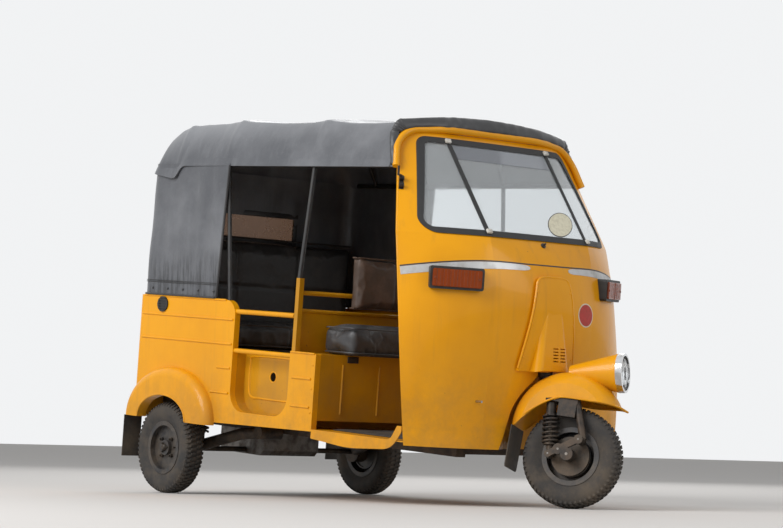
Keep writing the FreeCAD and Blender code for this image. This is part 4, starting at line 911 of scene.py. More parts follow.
    def window_frame(self) -> bpy.types.Object:
        """Stitched border round the rear window and along the curtain's front edges."""
        sketch, wide, low, high, strip = Sketch(), 0.272, 1.185, 1.346, 0.024
        for y0, y1, z0, z1 in ((-wide, wide, low, low + strip), (-wide, wide, high - strip, high),
                               (-wide, strip - wide, low, high), (wide - strip, wide, low, high)):
            up = ((z0 + z1) / 2 - self.curtain_low) / 0.6
            place = Matrix.Translation((self.curtain_back(up) + 0.004, 0, 0))
            sketch.block((-0.012, y0, z0), (0.0, y1, z1), place, self.thickness, 2)
        for up, radius in ((0.004, 0.005), (0.098, 0.0018), (0.110, 0.0018)):
            path = [self.curtain_point(a, up) for a in arc(0.004, 0.996, 160)]
            sketch.tube([p + self.outwards(p, -0.22, 0.55) * self.thickness for p in path], radius, 6)
        for side in (0.0015, 0.9985):
            sketch.tube([self.curtain_point(side, u) for u in arc(0.0, 0.99, 24)], 0.0055, 8)
        return sketch.piece("window_border", Finish.EDGING, "black_canopy", self.stance.body)

    def build(self) -> None:
        """Make every piece of cloth."""
        roof = seat(self.roof(), Body.BODY, ("canopy_roof",))
        self.edging()
        self.hems()
        curtain = seat(self.curtain(), Body.BODY, ("rear_curtain",))
        self.window_frame()


def quad_arc(a: Flat, m: Flat, b: Flat, t: float) -> Flat:
    """Point on the parabola through three points."""
    ca, cm, cb = (1 - t) * (1 - 2 * t), 4 * t * (1 - t), t * (2 * t - 1)
    return (ca * a[0] + cm * m[0] + cb * b[0], ca * a[1] + cm * m[1] + cb * b[1])


def thick(made: bpy.types.Object, thickness: float) -> bpy.types.Object:
    """Give a sheet its thickness, inwards from its outer face, and return it."""
    solid = made.modifiers.new("Thickness", "SOLIDIFY")
    solid.thickness = thickness
    solid.offset = -1
    flatten(made)
    soften(made)
    return made


# Seats

@dataclass
class Cushion:
    """Padded cushion: a block that cloth pressure swells, then sewn channels and piping."""

    name: str
    node: str
    slot: str
    finish: Finish
    low: Point
    high: Point
    stance: Stance
    fill: float = 0.6
    voxel: float = 0.007
    swell: float = 0.020
    channels: tuple[tuple[int, float], ...] = ()
    shrink: float = 0.011
    rounding: float = 0.28
    seam_depth: float = 0.009
    seam_width: float = 0.008
    pressure: float = 4.0
    quality: int = 4
    frames: int = 20

    def blank(self) -> bpy.types.Object:
        """Rounded block, slightly smaller than the finished cushion."""
        sketch = Sketch()
        low = Vector(self.low) + Vector((1, 1, 0.2)) * self.shrink
        high = Vector(self.high) - Vector((1, 1, 1)) * self.shrink
        sketch.block(low, high, bevel=min(high - low) * self.rounding, steps=4)
        made = sketch.object(self.name, self.finish)
        grid = made.modifiers.new("Grid", "REMESH")
        grid.mode, grid.voxel_size = "VOXEL", self.voxel
        return flatten(made)

    def inflate(self, made: bpy.types.Object) -> None:
        """Swell the cushion by cloth pressure, its movement capped."""
        rest = [v.co.copy() for v in made.data.vertices]
        cloth = made.modifiers.new("Padding", "CLOTH")
        cloth.settings.use_pressure = True
        cloth.settings.uniform_pressure_force = self.pressure
        cloth.settings.effector_weights.gravity = 0
        cloth.settings.quality = self.quality
        cloth.point_cache.frame_start, cloth.point_cache.frame_end = 1, self.frames
        for frame in range(1, self.frames + 1):
            bpy.context.scene.frame_set(frame)
        flatten(made)
        bpy.context.scene.frame_set(1)
        for vertex, start in zip(made.data.vertices, rest):
            step = vertex.co - start
            if step.length > self.swell:
                vertex.co = start + step * (self.swell / step.length)

    def sew(self, made: bpy.types.Object) -> None:
        """Press the channels, wrinkle the cover and keep it inside its space."""
        normals = [v.normal.copy() for v in made.data.vertices]
        for vertex, normal in zip(made.data.vertices, normals):
            p = vertex.co.copy()
            dent = sum(self.seam_depth * math.exp(-((p[axis] - place) / self.seam_width) ** 2)
                       for axis, place in self.channels)
            dent += ripple(0.003, *(p * 14)) + ripple(0.0015, *(p * 45))
            p -= normal * dent
            vertex.co = [min(max(p[i], self.low[i] + 0.0005), self.high[i] + 0.006) for i in range(3)]

    def piping(self) -> None:
        """Welt sewn along the upper and lower edges."""
        sketch, inset, bend = Sketch(), Vector((0.016, 0.016, 0.012)), 0.03
        low, high = Vector(self.low) + inset, Vector(self.high) - inset
        left, right, back, front = low.x + bend, high.x - bend, low.y + bend, high.y - bend
        for z in (low.z, high.z):
            loop = []
            for x, y, start in ((right, front, 0), (left, front, 90), (left, back, 180), (right, back, 270)):
                for turn in (math.radians(a) for a in arc(start, start + 90, 7)):
                    loop.append(Vector((x + bend * math.cos(turn), y + bend * math.sin(turn), z)))
            loop.append(loop[0])
            sketch.tube([p + Vector((0, 0, ripple(0.002, *(p * 9)))) for p in loop], 0.004, 6, caps=False)
        sketch.piece(f"{self.name}_piping", self.finish, self.slot, self.stance.body)

    def build(self) -> None:
        """Make the cushion."""
        made = self.blank()
        self.inflate(made)
        self.sew(made)
        made.data.transform(self.stance.body)
        smooth = made.modifiers.new("Smooth", "SUBSURF")
        smooth.levels = smooth.render_levels = 1
        flatten(made)
        made.data.shade_smooth()
        seat(made, Body.BODY, (self.node,))
        self.piping()


def make_seats(stance: Stance) -> None:
    """Every cushion, each in the space of its CAD solid."""
    wide = ((1, -0.18), (1, 0.18))
    Cushion("driver_cushion", "driver_seat", "brown_cover", Finish.GREY_HIDE, (0.902, -0.480, 0.7085),
            (1.132, 0.480, 0.8365), stance, channels=((1, -0.16), (1, 0.16))).build()
    Cushion("driver_back", "driver_backrest", "brown_cover", Finish.BROWN, (0.8945, -0.340, 0.899),
            (0.955, 0.340, 1.142), stance, swell=0.014, shrink=0.008,
            channels=((1, -0.11), (1, 0.11))).build()
    Cushion("passenger_cushion", "passenger_seat", "black_cover", Finish.DARK_HIDE, (-0.130, -0.540, 0.7005),
            (0.350, 0.540, 0.8165), stance, voxel=0.009, channels=wide).build()
    Cushion("passenger_back", "passenger_backrest", "black_cover", Finish.DARK_HIDE, (-0.236, -0.540, 0.7005),
            (-0.140, 0.540, 1.2205), stance, voxel=0.009, channels=(*wide, (2, 0.98))).build()


# Wheels

@dataclass
class Wheel:
    """Tyre with its tread, and the nuts, the hub cap and the valve on its rim."""

    name: str
    body: Body
    frame: Matrix
    outer: int
    radius: float = 0.206
    half_width: float = 0.050
    rim: float = 0.104
    blocks: int = 58
    disc_face: float = 0.017
    cap_face: float = 0.034
    nut_circle: float = 0.052
    shoulder: float = 0.040

    def tyre(self) -> None:
        """Tyre carcass with grooved tread."""
        sketch, tread, w, r = Sketch(), Sketch(), self.half_width, self.radius
        profile = [(self.rim + 0.001, -0.036), (self.rim + 0.020, -0.0395), (r - 0.062, -w + 0.0035),
                   (r - 0.046, -w), (r - 0.030, -w + 0.001), (r - 0.018, -w + 0.005), (r - 0.011, -w + 0.010),
                   (r - 0.0105, -w + 0.016), (r - 0.0085, -0.029), (r - 0.0075, -0.020), (r - 0.007, -0.010),
                   (r - 0.0065, 0.0)]
        profile += [(a, -b) for a, b in reversed(profile[:-1])]
        sketch.lathe(profile + [profile[0]], 96)
        sketch.piece(f"{self.name}_tyre_carcass", Finish.TYRE, "tyre", self.frame, self.body,
                     (f"{self.name}_tyre",))
        step = math.tau / self.blocks
        for i in range(self.blocks):
            for inner, outer, shift in ((-0.047, -0.029, 0), (-0.025, -0.004, 0.5), (0.004, 0.025, 0),
                                        (0.029, 0.047, 0.5)):
                self.block(tread, step * (i + shift), step * 0.62, inner, outer)
        tread.piece(f"{self.name}_tyre_tread", Finish.TYRE, "tyre", self.frame, self.body)

    def block(self, sketch: Sketch, angle: float, span: float, inner: float, outer: float) -> None:
        """One tread block, slanted round the tyre."""
        corners = []
        for y, lean in ((inner, 0.0), (outer, 0.35)):
            top, foot = self.radius - 0.0008 - 1.1 * y * y, self.radius - 0.012
            if abs(y) > self.shoulder:
                top, foot = self.radius - 0.012, self.radius - 0.022
            for a in (angle + span * lean, angle + span * (0.75 + lean)):
                corners.append([Vector((reach * math.cos(a), y, reach * math.sin(a)))
                                for reach in (foot, top)])
        a, b, c, d = corners
        sketch.surface([a, b, d, c], close_v=True)
        sketch.cap([a[1], c[1], d[1], b[1]])

    def rim_parts(self) -> None:
        """Rim nuts, valve and hub cap on the pressed disc."""
        sketch, side, ring = Sketch(), self.outer, self.nut_circle
        face, cap = self.disc_face * side, self.cap_face * side
        for c, s in circle(4, 0.5):
            nut(sketch, Vector((ring * c, face, ring * s)), 0.0095, 0.012 * side)
        for c, s in circle(3):
            nut(sketch, Vector((0.022 * c, cap, 0.022 * s)), 0.005, 0.006 * side)
        sketch.lathe([(0.0005, 0.046 * side), (0.010, 0.046 * side), (0.015, 0.042 * side), (0.017, cap)], 24)
        sketch.tube([(0.082, face, 0), (0.086, face + 0.030 * side, 0)], 0.0035, 8)
        sketch.piece(f"{self.name}_rim_nuts", Finish.STEEL, "rim_paint", self.frame, self.body)

    def build(self) -> None:
        """Make the wheel's pieces."""
        self.tyre()
        self.rim_parts()


def nut(sketch: Sketch, centre: Vector, radius: float, height: float) -> None:
    """Hexagonal nut with a stud end, along y from its foot."""
    sketch.prism([centre + Vector((radius * c, 0, radius * s)) for c, s in circle(6)], Vector((0, height, 0)),
                 radius * 0.12)
    sketch.tube([centre, centre + Vector((0, height * 1.6, 0))], radius * 0.45, 8)


# Repeated fasteners

@dataclass
class Fasteners:
    """Screw heads, rivets or bolts set on marked points by Geometry Nodes."""

    name: str
    finish: Finish
    seed: int = 3
    radius: float = 0.0045
    height: float = 0.0022
    slotted: bool = True
    points: list[tuple[Vector, Vector]] = field(default_factory=list)

    def add(self, place: Point, facing: Point) -> None:
        """Mark a point and the way that its head faces."""
        self.points.append((Vector(place), Vector(facing)))

    def head(self) -> bpy.types.Object:
        """One domed head, its foot at the origin and its top along z."""
        sketch, r, h = Sketch(), self.radius, self.height
        rows = [[Vector((r * share * c, r * share * s, h * lift)) for c, s in circle(10)]
                for share, lift in ((1.0, -0.3), (1.0, 0.25), (0.72, 0.8), (0.3, 1.0))]
        sketch.surface(rows, close_u=True)
        sketch.cap(rows[-1])
        if self.slotted:
            sketch.block((-r * 0.8, -r * 0.09, h * 0.9), (r * 0.8, r * 0.09, h * 1.12))
        made = sketch.object(f"{self.name}_head", self.finish)
        made.hide_render = True
        return made

    def tree(self) -> bpy.types.NodeTree:
        """Node group that sets the head on each point along its facing attribute."""
        tree = bpy.data.node_groups.new(f"{self.name} nodes", "GeometryNodeTree")
        for name, way, kind in (("Geometry", "INPUT", "Geometry"), ("Head", "INPUT", "Object"),
                                ("Finish", "INPUT", "Material"), ("Seed", "INPUT", "Int"),
                                ("Geometry", "OUTPUT", "Geometry")):
            tree.interface.new_socket(name=name, in_out=way, socket_type=f"NodeSocket{kind}")
        node = {key: tree.nodes.new(kind) for key, kind in (
            ("given", "NodeGroupInput"), ("head", "GeometryNodeObjectInfo"),
            ("facing", "GeometryNodeInputNamedAttribute"), ("align", "FunctionNodeAlignRotationToVector"),
            ("spread", "GeometryNodeInstanceOnPoints"), ("chance", "FunctionNodeRandomValue"),
            ("turn", "ShaderNodeCombineXYZ"), ("spin", "GeometryNodeRotateInstances"),
            ("real", "GeometryNodeRealizeInstances"), ("paint", "GeometryNodeSetMaterial"),
            ("result", "NodeGroupOutput"),
        )}
        node["facing"].data_type = "FLOAT_VECTOR"
        node["facing"].inputs["Name"].default_value = "facing"
        node["align"].axis = "Z"
        node["chance"].inputs[3].default_value = math.tau
        for start, output, end, name in (
            ("given", "Head", "head", "Object"), ("facing", "Attribute", "align", "Vector"),
            ("given", "Geometry", "spread", "Points"), ("head", "Geometry", "spread", "Instance"),
            ("align", "Rotation", "spread", "Rotation"), ("given", "Seed", "chance", "Seed"),
            ("chance", 1, "turn", "Z"), ("spread", "Instances", "spin", "Instances"),
            ("turn", "Vector", "spin", "Rotation"), ("spin", "Instances", "real", "Geometry"),
            ("real", "Geometry", "paint", "Geometry"), ("given", "Finish", "paint", "Material"),
            ("paint", "Geometry", "result", "Geometry"),
        ):
            tree.links.new(node[start].outputs[output], node[end].inputs[name])
        return tree

    def build(self, frame: Matrix, body: Body, slot: str) -> None:
        """Set every head and bake the result.

        Args:
            frame: the matrix from the points' frame to the row frame.
            body: the body that they ride on.
            slot: the record's material slot; not used.
        """
        data = bpy.data.meshes.new(self.name)
        data.from_pydata([frame @ p for p, _ in self.points], [], [])
        facing = data.attributes.new("facing", "FLOAT_VECTOR", "POINT")
        turn = frame.to_3x3()
        for i, (_, normal) in enumerate(self.points):
            facing.data[i].vector = turn @ normal
        made, head = linked(self.name, data), self.head()
        spread = made.modifiers.new("Spread", "NODES")
        spread.node_group = self.tree()
        given = {"Head": head, "Finish": self.finish.material, "Seed": self.seed}
        for item in spread.node_group.interface.items_tree:
            if item.in_out == "INPUT" and item.name in given:
                spread[item.identifier] = given[item.name]
        flatten(made)
        bpy.data.objects.remove(head)
        soften(made)
        seat(made, body)


# Trim of the body

@dataclass
class Trim:
    """Stripes, beads, clips and blank stickers on the sprung body."""

    stance: Stance
    skin: Skin
    glass: Skin
    bead: float = 0.0045
    sunk: float = -0.0006
    clamp_z: float = 1.407
    panel_half: float = 0.600
    panel_top: float = 0.909
    stud_z: float = 0.944

    def band(self, name: str, finish: Finish, slot: str, rows: list[Point], lift: float = 0.0012) -> None:
        """Tape on the cowl.

        Args:
            name: the piece's name.
            finish: its finish.
            slot: the record's material slot; passed on, not used.
            rows: place across, lower edge and upper edge of the tape, along its run.
            lift: its thickness.
        """
        sketch, grid, first, last = Sketch(), [], rows[0][0], rows[-1][0]
        for y in arc(first, last, 110):
            spread = (0.0,) if min(y - first, last - y) < 0.06 else (-0.04, -0.02, 0.0, 0.02, 0.04)
            near = [lerp(rows, min(max(y + d, first), last)) for d in spread]
            low, high = sum(n[1] for n in near) / len(near), sum(n[2] for n in near) / len(near)
            line = []
            for z, up in ((low, self.sunk), (low, lift), ((low + high) / 2, lift), (high, lift),
                          (high, self.sunk)):
                p, n = self.skin.ahead(y, z)
                line.append(p + n * up)
            grid.append(line)
        sketch.surface(grid)
        sketch.piece(name, finish, slot, self.stance.body)

    def stripes(self) -> None:
        """Silver stripe with the thin black line above it, broken at the nose cover."""
        right = [(-0.602, 1.061, 1.093), (-0.573, 1.068, 1.100), (-0.512, 1.081, 1.113),
                 (-0.445, 1.093, 1.124), (-0.368, 1.103, 1.133), (-0.293, 1.110, 1.138),
                 (-0.204, 1.113, 1.138), (-0.140, 1.113, 1.136), (-0.118, 1.116, 1.133),
                 (-0.108, 1.121, 1.128)]
        edge = [(y, high + 0.0008, high + 0.0062) for y, _, high in right[:-3]]
        middle = [(y, 1.1375, 1.1425) for y in arc(-0.14, 0.14, 9)]
        self.band("stripe_right", Finish.SILVER, "bright_wire", right)
        self.band("stripe_left", Finish.SILVER, "bright_wire", self.mirrored(right))
        self.band("stripe_line", Finish.BLACK, "black_paint", edge + middle + self.mirrored(edge), 0.0008)

    @staticmethod
    def mirrored(rows: list[tuple]) -> list[tuple]:
        """The same rows on the other side, still from right to left."""
        return [(-row[0], *row[1:]) for row in reversed(rows)]

    def sun_band(self) -> None:
        """Tinted strip along the top of the screen, blank."""
        sketch, grid = Sketch(), []
        for y in arc(-0.262, 0.262, 40):
            hits = [self.glass.ahead(y, z) for z in arc(1.560, 1.618, 4)]
            grid.append([p + n * 0.0012 for p, n in hits])
        sketch.surface(grid)
        sketch.piece("sun_band", Finish.BAND, "glass", self.stance.body)

    def stickers(self) -> None:
        """Blank oval stickers: cream on the screen, red with a pale rim beside the nose cover.

        Each row gives the name, finish, slot, middle, half axes (all in y and z), thickness and surface.
        """
        on_glass, on_cowl = (0.166, 1.321), (0.221, 0.947)
        for name, finish, slot, centre, across, upwards, lift, skin in (
            ("screen_sticker_rim", Finish.PLASTIC, "black_paint", on_glass, (0.078, 0.006), (0.030, 0.053),
             0.0008, self.glass),
            ("screen_sticker", Finish.CREAM, "chrome", on_glass, (0.074, 0.006), (0.0285, 0.050), 0.0014,
             self.glass),
            ("cowl_sticker_rim", Finish.CREAM, "chrome", on_cowl, (0.058, 0.0), (-0.004, 0.050), 0.0008,
             self.skin),
            ("cowl_sticker", Finish.STICKER, "red_lens", on_cowl, (0.052, 0.0), (-0.004, 0.045), 0.0014,
             self.skin),
        ):
            sketch, rings = Sketch(), []
            for share, up in ((1.0, -0.0002), (1.0, lift), (0.6, lift), (0.05, lift)):
                hits = [skin.ahead(*(m + share * (a * c + b * s) for m, a, b in zip(centre, across, upwards)))
                        for c, s in circle(40)]
                rings.append([p + n * up for p, n in hits])
            sketch.surface(rings, close_u=True)
            sketch.cap(rings[-1])
            sketch.piece(name, finish, slot, self.stance.body)

    def cover_bead(self) -> None:
        """Rolled rim of the nose cover."""
        corners = [(-0.150, 0.716), (-0.146, 0.745), (-0.133, 0.822), (-0.109, 0.960), (-0.093, 1.050),
                   (-0.078, 1.079), (-0.050, 1.088), (0.0, 1.089)]
        corners += self.mirrored(corners[:-1])
        hits = [self.skin.ahead(p.x * 1.005, p.y) for p in rounded([(y, z, 0) for y, z in corners], 5)]
        sketch = Sketch()
        sketch.tube([p + n * 0.0125 for p, n in hits], 0.0048, 8)
        sketch.piece("nose_cover_rim", Finish.YELLOW, "yellow_paint", self.stance.body)

    def mirror_clamp(self) -> None:
        """Clamp plate, two rusty knuckles and the stub on the pillar, in place of the plain block."""
        sketch, z = Sketch(), self.clamp_z
        p, n = self.skin.beside(cowl_edge(z + 0.033) + 0.012, z + 0.033, -1)
        frame = facing(p, n, "Z", "Y")
        sketch.block((-0.010, -0.032, 0.0003), (0.010, 0.034, 0.0035), frame, 0.0012, 1)
        for k in (-0.018, 0.016):
            for low, high, radius, sides in (((-0.010, k, 0.011), (0.011, k, 0.011), 0.0085, 14),
                                             ((0, k, 0.003), (0, k, 0.023), 0.0048, 8)):
                sketch.tube([frame @ Vector(low), frame @ Vector(high)], radius, sides)
        foot = Vector((cowl_edge(z) + 0.023, -0.564, z + 0.060))
        sketch.tube([foot, foot + Vector((0, 0, 0.040))], 0.005, 14)
        sketch.tube([frame @ Vector((0, 0.030, 0.006)), foot + Vector((0, 0, 0.004))], 0.005, 10)
        sketch.piece("mirror_clamp", Finish.STEEL, "black_paint", self.stance.body,
                     replaces=("mirror_bracket",), weld=False)

    def clips(self) -> None:
        """White clips at the ends of the screen's bars, and the wiper's spindle without its arm."""
        sketch, spindle = Sketch(), Sketch()
        for y, z in ((-0.281, 1.632), (0.277, 1.632), (-0.277, 1.260), (0.277, 1.256)):
            p, n = self.glass.ahead(y, z)
            sketch.block((-0.006, -0.013, -0.010), (0.005, 0.013, 0.010), facing(p + n * 0.006, n, "X", "Z"),
                         0.003, 2)
        sketch.piece("screen_clips", Finish.WHITE, "chrome", self.stance.body)
        spindle.lathe([(0.0005, 0.018), (0.004, 0.018), (0.0045, 0.006), (0.011, 0.005), (0.012, -0.002)],
                      20, facing(*self.skin.ahead(-0.001, 1.222), "Y", "Z"))
        spindle.piece("wiper_spindle", Finish.BLACK, "black_paint", self.stance.body)

    def beads(self) -> None:
        """Rolled edges: the cowl's rear edges, the panels' top rims and the rear fenders' arches."""
        sketch, rims = Sketch(), Sketch()
        for sign in (-1, 1):
            hits = [self.skin.beside(cowl_edge(z) + 0.006, z, sign) for z in arc(0.395, 1.640, 60)]
            sketch.tube([p - n * 0.0005 - Vector((0.005, 0, 0)) for p, n in hits], 0.0048, 8)
            for first, last, z, count in ((-0.262, 0.378, self.panel_top, 20), (0.874, 1.040, 0.7075, 8)):
                rims.tube([(x, sign * self.panel_half, z) for x in arc(first, last, count)], self.bead, 8)
            rims.tube([(0.1905 * math.cos(a), sign * 0.6495, 0.352 + 0.1115 * math.sin(a))
                       for a in arc(0.02, math.pi - 0.02, 40)], self.bead, 8)
        rims.tube([(-0.3045, y, self.panel_top) for y in arc(-0.565, 0.565, 20)], self.bead, 8)
        sketch.piece("cowl_edge_beads", Finish.YELLOW, "yellow_paint", self.stance.body)
        rims.piece("panel_rims", Finish.YELLOW, "yellow_paint", self.stance.body)

    def fasteners(self) -> None:
        """Screws of the nose cover, the panels and the engine cover, and the curtain's studs."""
        screws = Fasteners("body_screws", Finish.YELLOW, radius=0.0055, height=0.003)
        studs = Fasteners("curtain_studs", Finish.EDGING, radius=0.0060, height=0.003, slotted=False)
        rear = (-1, 0, 0)
        for sign in (-1, 1):
            out = (0, sign, 0)
            for z in (0.46, 0.56, 0.66):
                screws.add((1.032, sign * self.panel_half, z), out)
            for z in arc(0.44, 0.68, 3):
                screws.add((-0.3095, sign * 0.385, z), rear)
            for y, z in ((0.132, 0.76), (0.112, 0.90), (0.090, 1.03)):
                p, n = self.skin.ahead(sign * y, z)
                screws.add(p + n * 0.0145, n)
            for a in arc(0.35, math.pi - 0.35, 7):
                screws.add((0.019 + 0.300 * math.cos(a), sign * 0.6245, 0.351 + 0.211 * math.sin(a)), out)
            for x in arc(-0.20, 0.28, 5):
                studs.add((x, sign * (self.panel_half + 0.0045), self.stud_z), out)
        for y in arc(-0.5, 0.5, 9):
            studs.add((-0.3010, y, self.stud_z), rear)
        screws.build(self.stance.body, Body.BODY, "yellow_paint")
        studs.build(self.stance.body, Body.BODY, "black_canopy")

    def build(self) -> None:
        """Make all the trim."""
        for make in (self.stripes, self.sun_band, self.stickers, self.clips, self.cover_bead,
                     self.mirror_clamp, self.beads, self.fasteners):
            make()


def cowl_edge(z: float) -> float:
    """Rear edge of the cowl at a height, in side view."""
    foot, waist, top, foot_x, waist_x, top_x = 0.374, 1.237, 1.668, 1.650, 1.517, 1.328
    if z >= waist:
        return waist_x + (top_x - waist_x) * (z - waist) / (top - waist)
    share = (z - foot) / (waist - foot)
    return foot_x + (waist_x - foot_x) * (0.35 * share + 0.65 * share * share)


# Cabin and rear end

@dataclass
class Cabin:
    """What shows inside and behind: floor mat, pedal, latches, lamp frames and louvre rims."""

    stance: Stance
    floor_top: float = 0.3905
    shock_x: float = 0.070
    shock_y: float = 0.468

    def floor_mat(self) -> None:
        """Ribbed rubber mat in the driver's footwell."""
        sketch = Sketch()
        sketch.block((1.07, -0.50, self.floor_top), (1.60, 0.50, 0.3945), bevel=0.0015, steps=1)
        for y in arc(-0.48, 0.48, 49):
            sketch.block((1.08, y - 0.004, 0.3942), (1.59, y + 0.004, 0.3972))
        sketch.piece("floor_mat", Finish.FLAP, "flap_rubber", self.stance.body, weld=False)

    def controls(self) -> None:
        """Brake pedal on its arm, at the right of the footwell."""
        sketch = Sketch()
        sketch.tube([(1.50, -0.20, 0.392), (1.47, -0.20, 0.44), (1.455, -0.20, 0.50)], 0.007, 10)
        tilt = Matrix.Translation((1.452, -0.20, 0.510)) @ Matrix.Rotation(math.radians(-35), 4, "Y")
        sketch.block((-0.006, -0.032, -0.026), (0.006, 0.032, 0.026), tilt, 0.003, 2)
        for z in arc(-0.020, 0.016, 4):
            sketch.block((-0.0085, -0.028, z), (-0.005, 0.028, z + 0.004), tilt)
        sketch.block((1.475, -0.225, self.floor_top), (1.525, -0.175, 0.399), bevel=0.002, steps=1)
        sketch.piece("brake_pedal", Finish.BLACK, "black_paint", self.stance.body, weld=False)

    def seat_box(self) -> None:
        """Latch, hinges and a pressed frame on the driver's seat box, and the recess's drain rim."""
        latch, tray, box = Sketch(), Sketch(), 1.0485
        latch.block((box, -0.045, 0.640), (1.056, 0.045, 0.690), bevel=0.002, steps=2)
        latch.block((1.054, -0.012, 0.625), (1.064, 0.012, 0.668), bevel=0.003, steps=2)
        for y in (-0.40, 0.40):
            latch.block((box, y - 0.03, 0.676), (1.053, y + 0.03, 0.704), bevel=0.0015, steps=1)
        latch.piece("seat_box_latch", Finish.STEEL, "dark_steel", self.stance.body, weld=False)
        rim = [(0.0205, 0.0), (0.025, -0.0005), (0.0265, -0.003), (0.025, -0.0045), (0.0205, -0.004)]
        tray.lathe(rim, 32, Matrix.Translation((0.660, -0.5212, 0.588)))
        outline = ((0.52, 0.49), (0.80, 0.49), (0.83, 0.52), (0.83, 0.64), (0.80, 0.67), (0.52, 0.67),
                   (0.49, 0.64), (0.49, 0.52), (0.52, 0.49), (0.56, 0.49))
        tray.tube(rounded([(x, -0.5245, z) for x, z in outline], 5), 0.0045, 8, caps=False)
        tray.piece("recess_swage", Finish.YELLOW, "yellow_paint", self.stance.body)

    def louvres(self) -> None:
        """Pressed hoods over the engine cover's louvres, hinge pins and a handle."""
        sketch, metal, half = Sketch(), Sketch(), 0.284
        for z in arc(0.460, 0.640, 6):
            rows = []
            for y in arc(-half, half, 24):
                end = max(0.0, 1 - (abs(y) / half) ** 14)
                rows.append([Vector((x - out * end, y, z + up)) for x, out, up in (
                    (-0.3088, 0, 0.018), (-0.3125, 0.006, 0.014), (-0.3125, 0.010, 0.004),
                    (-0.3095, 0.009, 0.0025))])
            sketch.surface(rows)
        sketch.piece("louvre_hoods", Finish.YELLOW, "yellow_paint", self.stance.body)
        metal.tube([(-0.3093, -0.05, 0.700), (-0.328, -0.045, 0.700), (-0.328, 0.045, 0.700),
                    (-0.3093, 0.05, 0.700)], 0.0045, 10)
        for y in (-0.25, 0.25):
            metal.tube([(-0.313, y - 0.035, 0.404), (-0.313, y + 0.035, 0.404)], 0.0055, 10)
            metal.block((-0.3112, y - 0.03, 0.384), (-0.3092, y + 0.03, 0.424))
        metal.piece("engine_cover_handle", Finish.STEEL, "dark_steel", self.stance.body, weld=False)

    def tail(self) -> None:
        """Black frames and inner divisions of the tail lamps."""
        sketch = Sketch()
        for y in (-0.470, 0.470):
            for left, right, low, high in ((-0.048, -0.0445, 0.732, 0.868), (0.0445, 0.048, 0.732, 0.868),
                                           (-0.048, 0.048, 0.731, 0.7345), (-0.048, 0.048, 0.8655, 0.869)):
                sketch.block((-0.331, y + left, low), (-0.306, y + right, high), bevel=0.0008, steps=1)
            for z in (0.822, 0.774):
                sketch.block((-0.3305, y - 0.045, z), (-0.3285, y + 0.045, z + 0.004), bevel=0.0008, steps=1)
        sketch.piece("tail_lamp_frames", Finish.PLASTIC, "lamp_housing", self.stance.body, weld=False)

    def shocks(self) -> None:
        """Rear coil springs and their dampers, in place of the rigid stacks."""
        rods = ((0.262, 0.300, 0.018), (0.300, 0.330, 0.021), (0.330, 0.430, 0.010), (0.428, 0.444, 0.026),
                (0.444, 0.693, 0.0105))
        for y, side, replaced in ((-self.shock_y, "right", ("rear_shocks",)), (self.shock_y, "left", ())):
            sketch = Sketch()
            damper(sketch, Vector((self.shock_x, y, 0)), Vector((0, 0, 1)),
                   (0.306, 0.440, 0.0225, 6.5, 0.0052), rods, 16)
            sketch.piece(f"rear_spring_{side}", Finish.STEEL, "dark_steel", self.stance.body,
                         replaces=replaced, weld=False)

    def indicators(self) -> None:
        """Screws, ribs and the split between white and amber on the front indicators."""
        sketch = Sketch()
        for sign in (-1, 1):
            turn = (Matrix.Translation((1.715, sign * 0.430, 1.060))
                    @ Matrix.Rotation(sign * math.radians(31), 4, "Z"))
            sketch.block((0.0335, -0.0012, -0.035), (0.0352, 0.0012, 0.035), turn)
            for y in arc(-0.084, 0.084, 13):
                sketch.block((0.0338, y - 0.0009, -0.032), (0.0346, y + 0.0009, 0.032), turn)
            for y in (-0.092, 0.092):
                sketch.tube([turn @ Vector((0.033, y, 0)), turn @ Vector((0.0365, y, 0))], 0.0042, 10)
        sketch.piece("indicator_ribs", Finish.AMBER_DARK, "amber_lens", self.stance.body, weld=False)

    def build(self) -> None:
        """Make the pieces."""
        for make in (self.floor_mat, self.controls, self.seat_box, self.louvres, self.tail, self.shocks,
                     self.indicators):
            make()


def helix(start: Vector, end: Vector, radius: float, turns: float, steps: int = 16) -> list[Vector]:
    """Centreline of a coil spring from one end to the other, its last turns closed up."""
    run = end - start
    across = run.normalized().orthogonal()
    other = run.normalized().cross(across)
    path = []
    for share in arc(0, 1, int(turns * steps) + 1):
        rise = share - 0.03 * math.sin(math.tau * share)
        a = math.tau * turns * share
        path.append(start + run * rise + (across * math.cos(a) + other * math.sin(a)) * radius)
    return path


def damper(sketch: Sketch, foot: Vector, run: Vector, coil: tuple[float, ...], rods: tuple[Point, ...],
           sides: int) -> None:
    """Coil spring over its damper.

    Args:
        sketch: where it is drawn.
        foot: its lower end.
        run: unit vector along it.
        coil: start, end, radius and turns of the coil, and the wire's radius.
        rods: start, end and radius of each turned part.
        sides: points round a turned part.
    """
    start, end, radius, turns, wire = coil
    sketch.tube(helix(foot + run * start, foot + run * end, radius, turns), wire, sides // 2)
    for low, high, r in rods:
        sketch.tube([foot + run * low, foot + run * high], r, sides)


def rounded(places: list[Point], steps: int) -> list[Vector]:
    """Curve through points, with a few steps between each pair."""
    points, made = [Vector(p) for p in places], []
    for i in range(len(points) - 1):
        a, b = points[max(i - 1, 0)], points[i]
        c, d = points[i + 1], points[min(i + 2, len(points) - 1)]
        for t in (k / steps for k in range(steps)):
            made.append(0.5 * (2 * b + (c - a) * t + (2 * a - 5 * b + 4 * c - d) * t * t
                               + (3 * b - a - 3 * c + d) * t ** 3))
    return made + [points[-1]]


# Steered front end

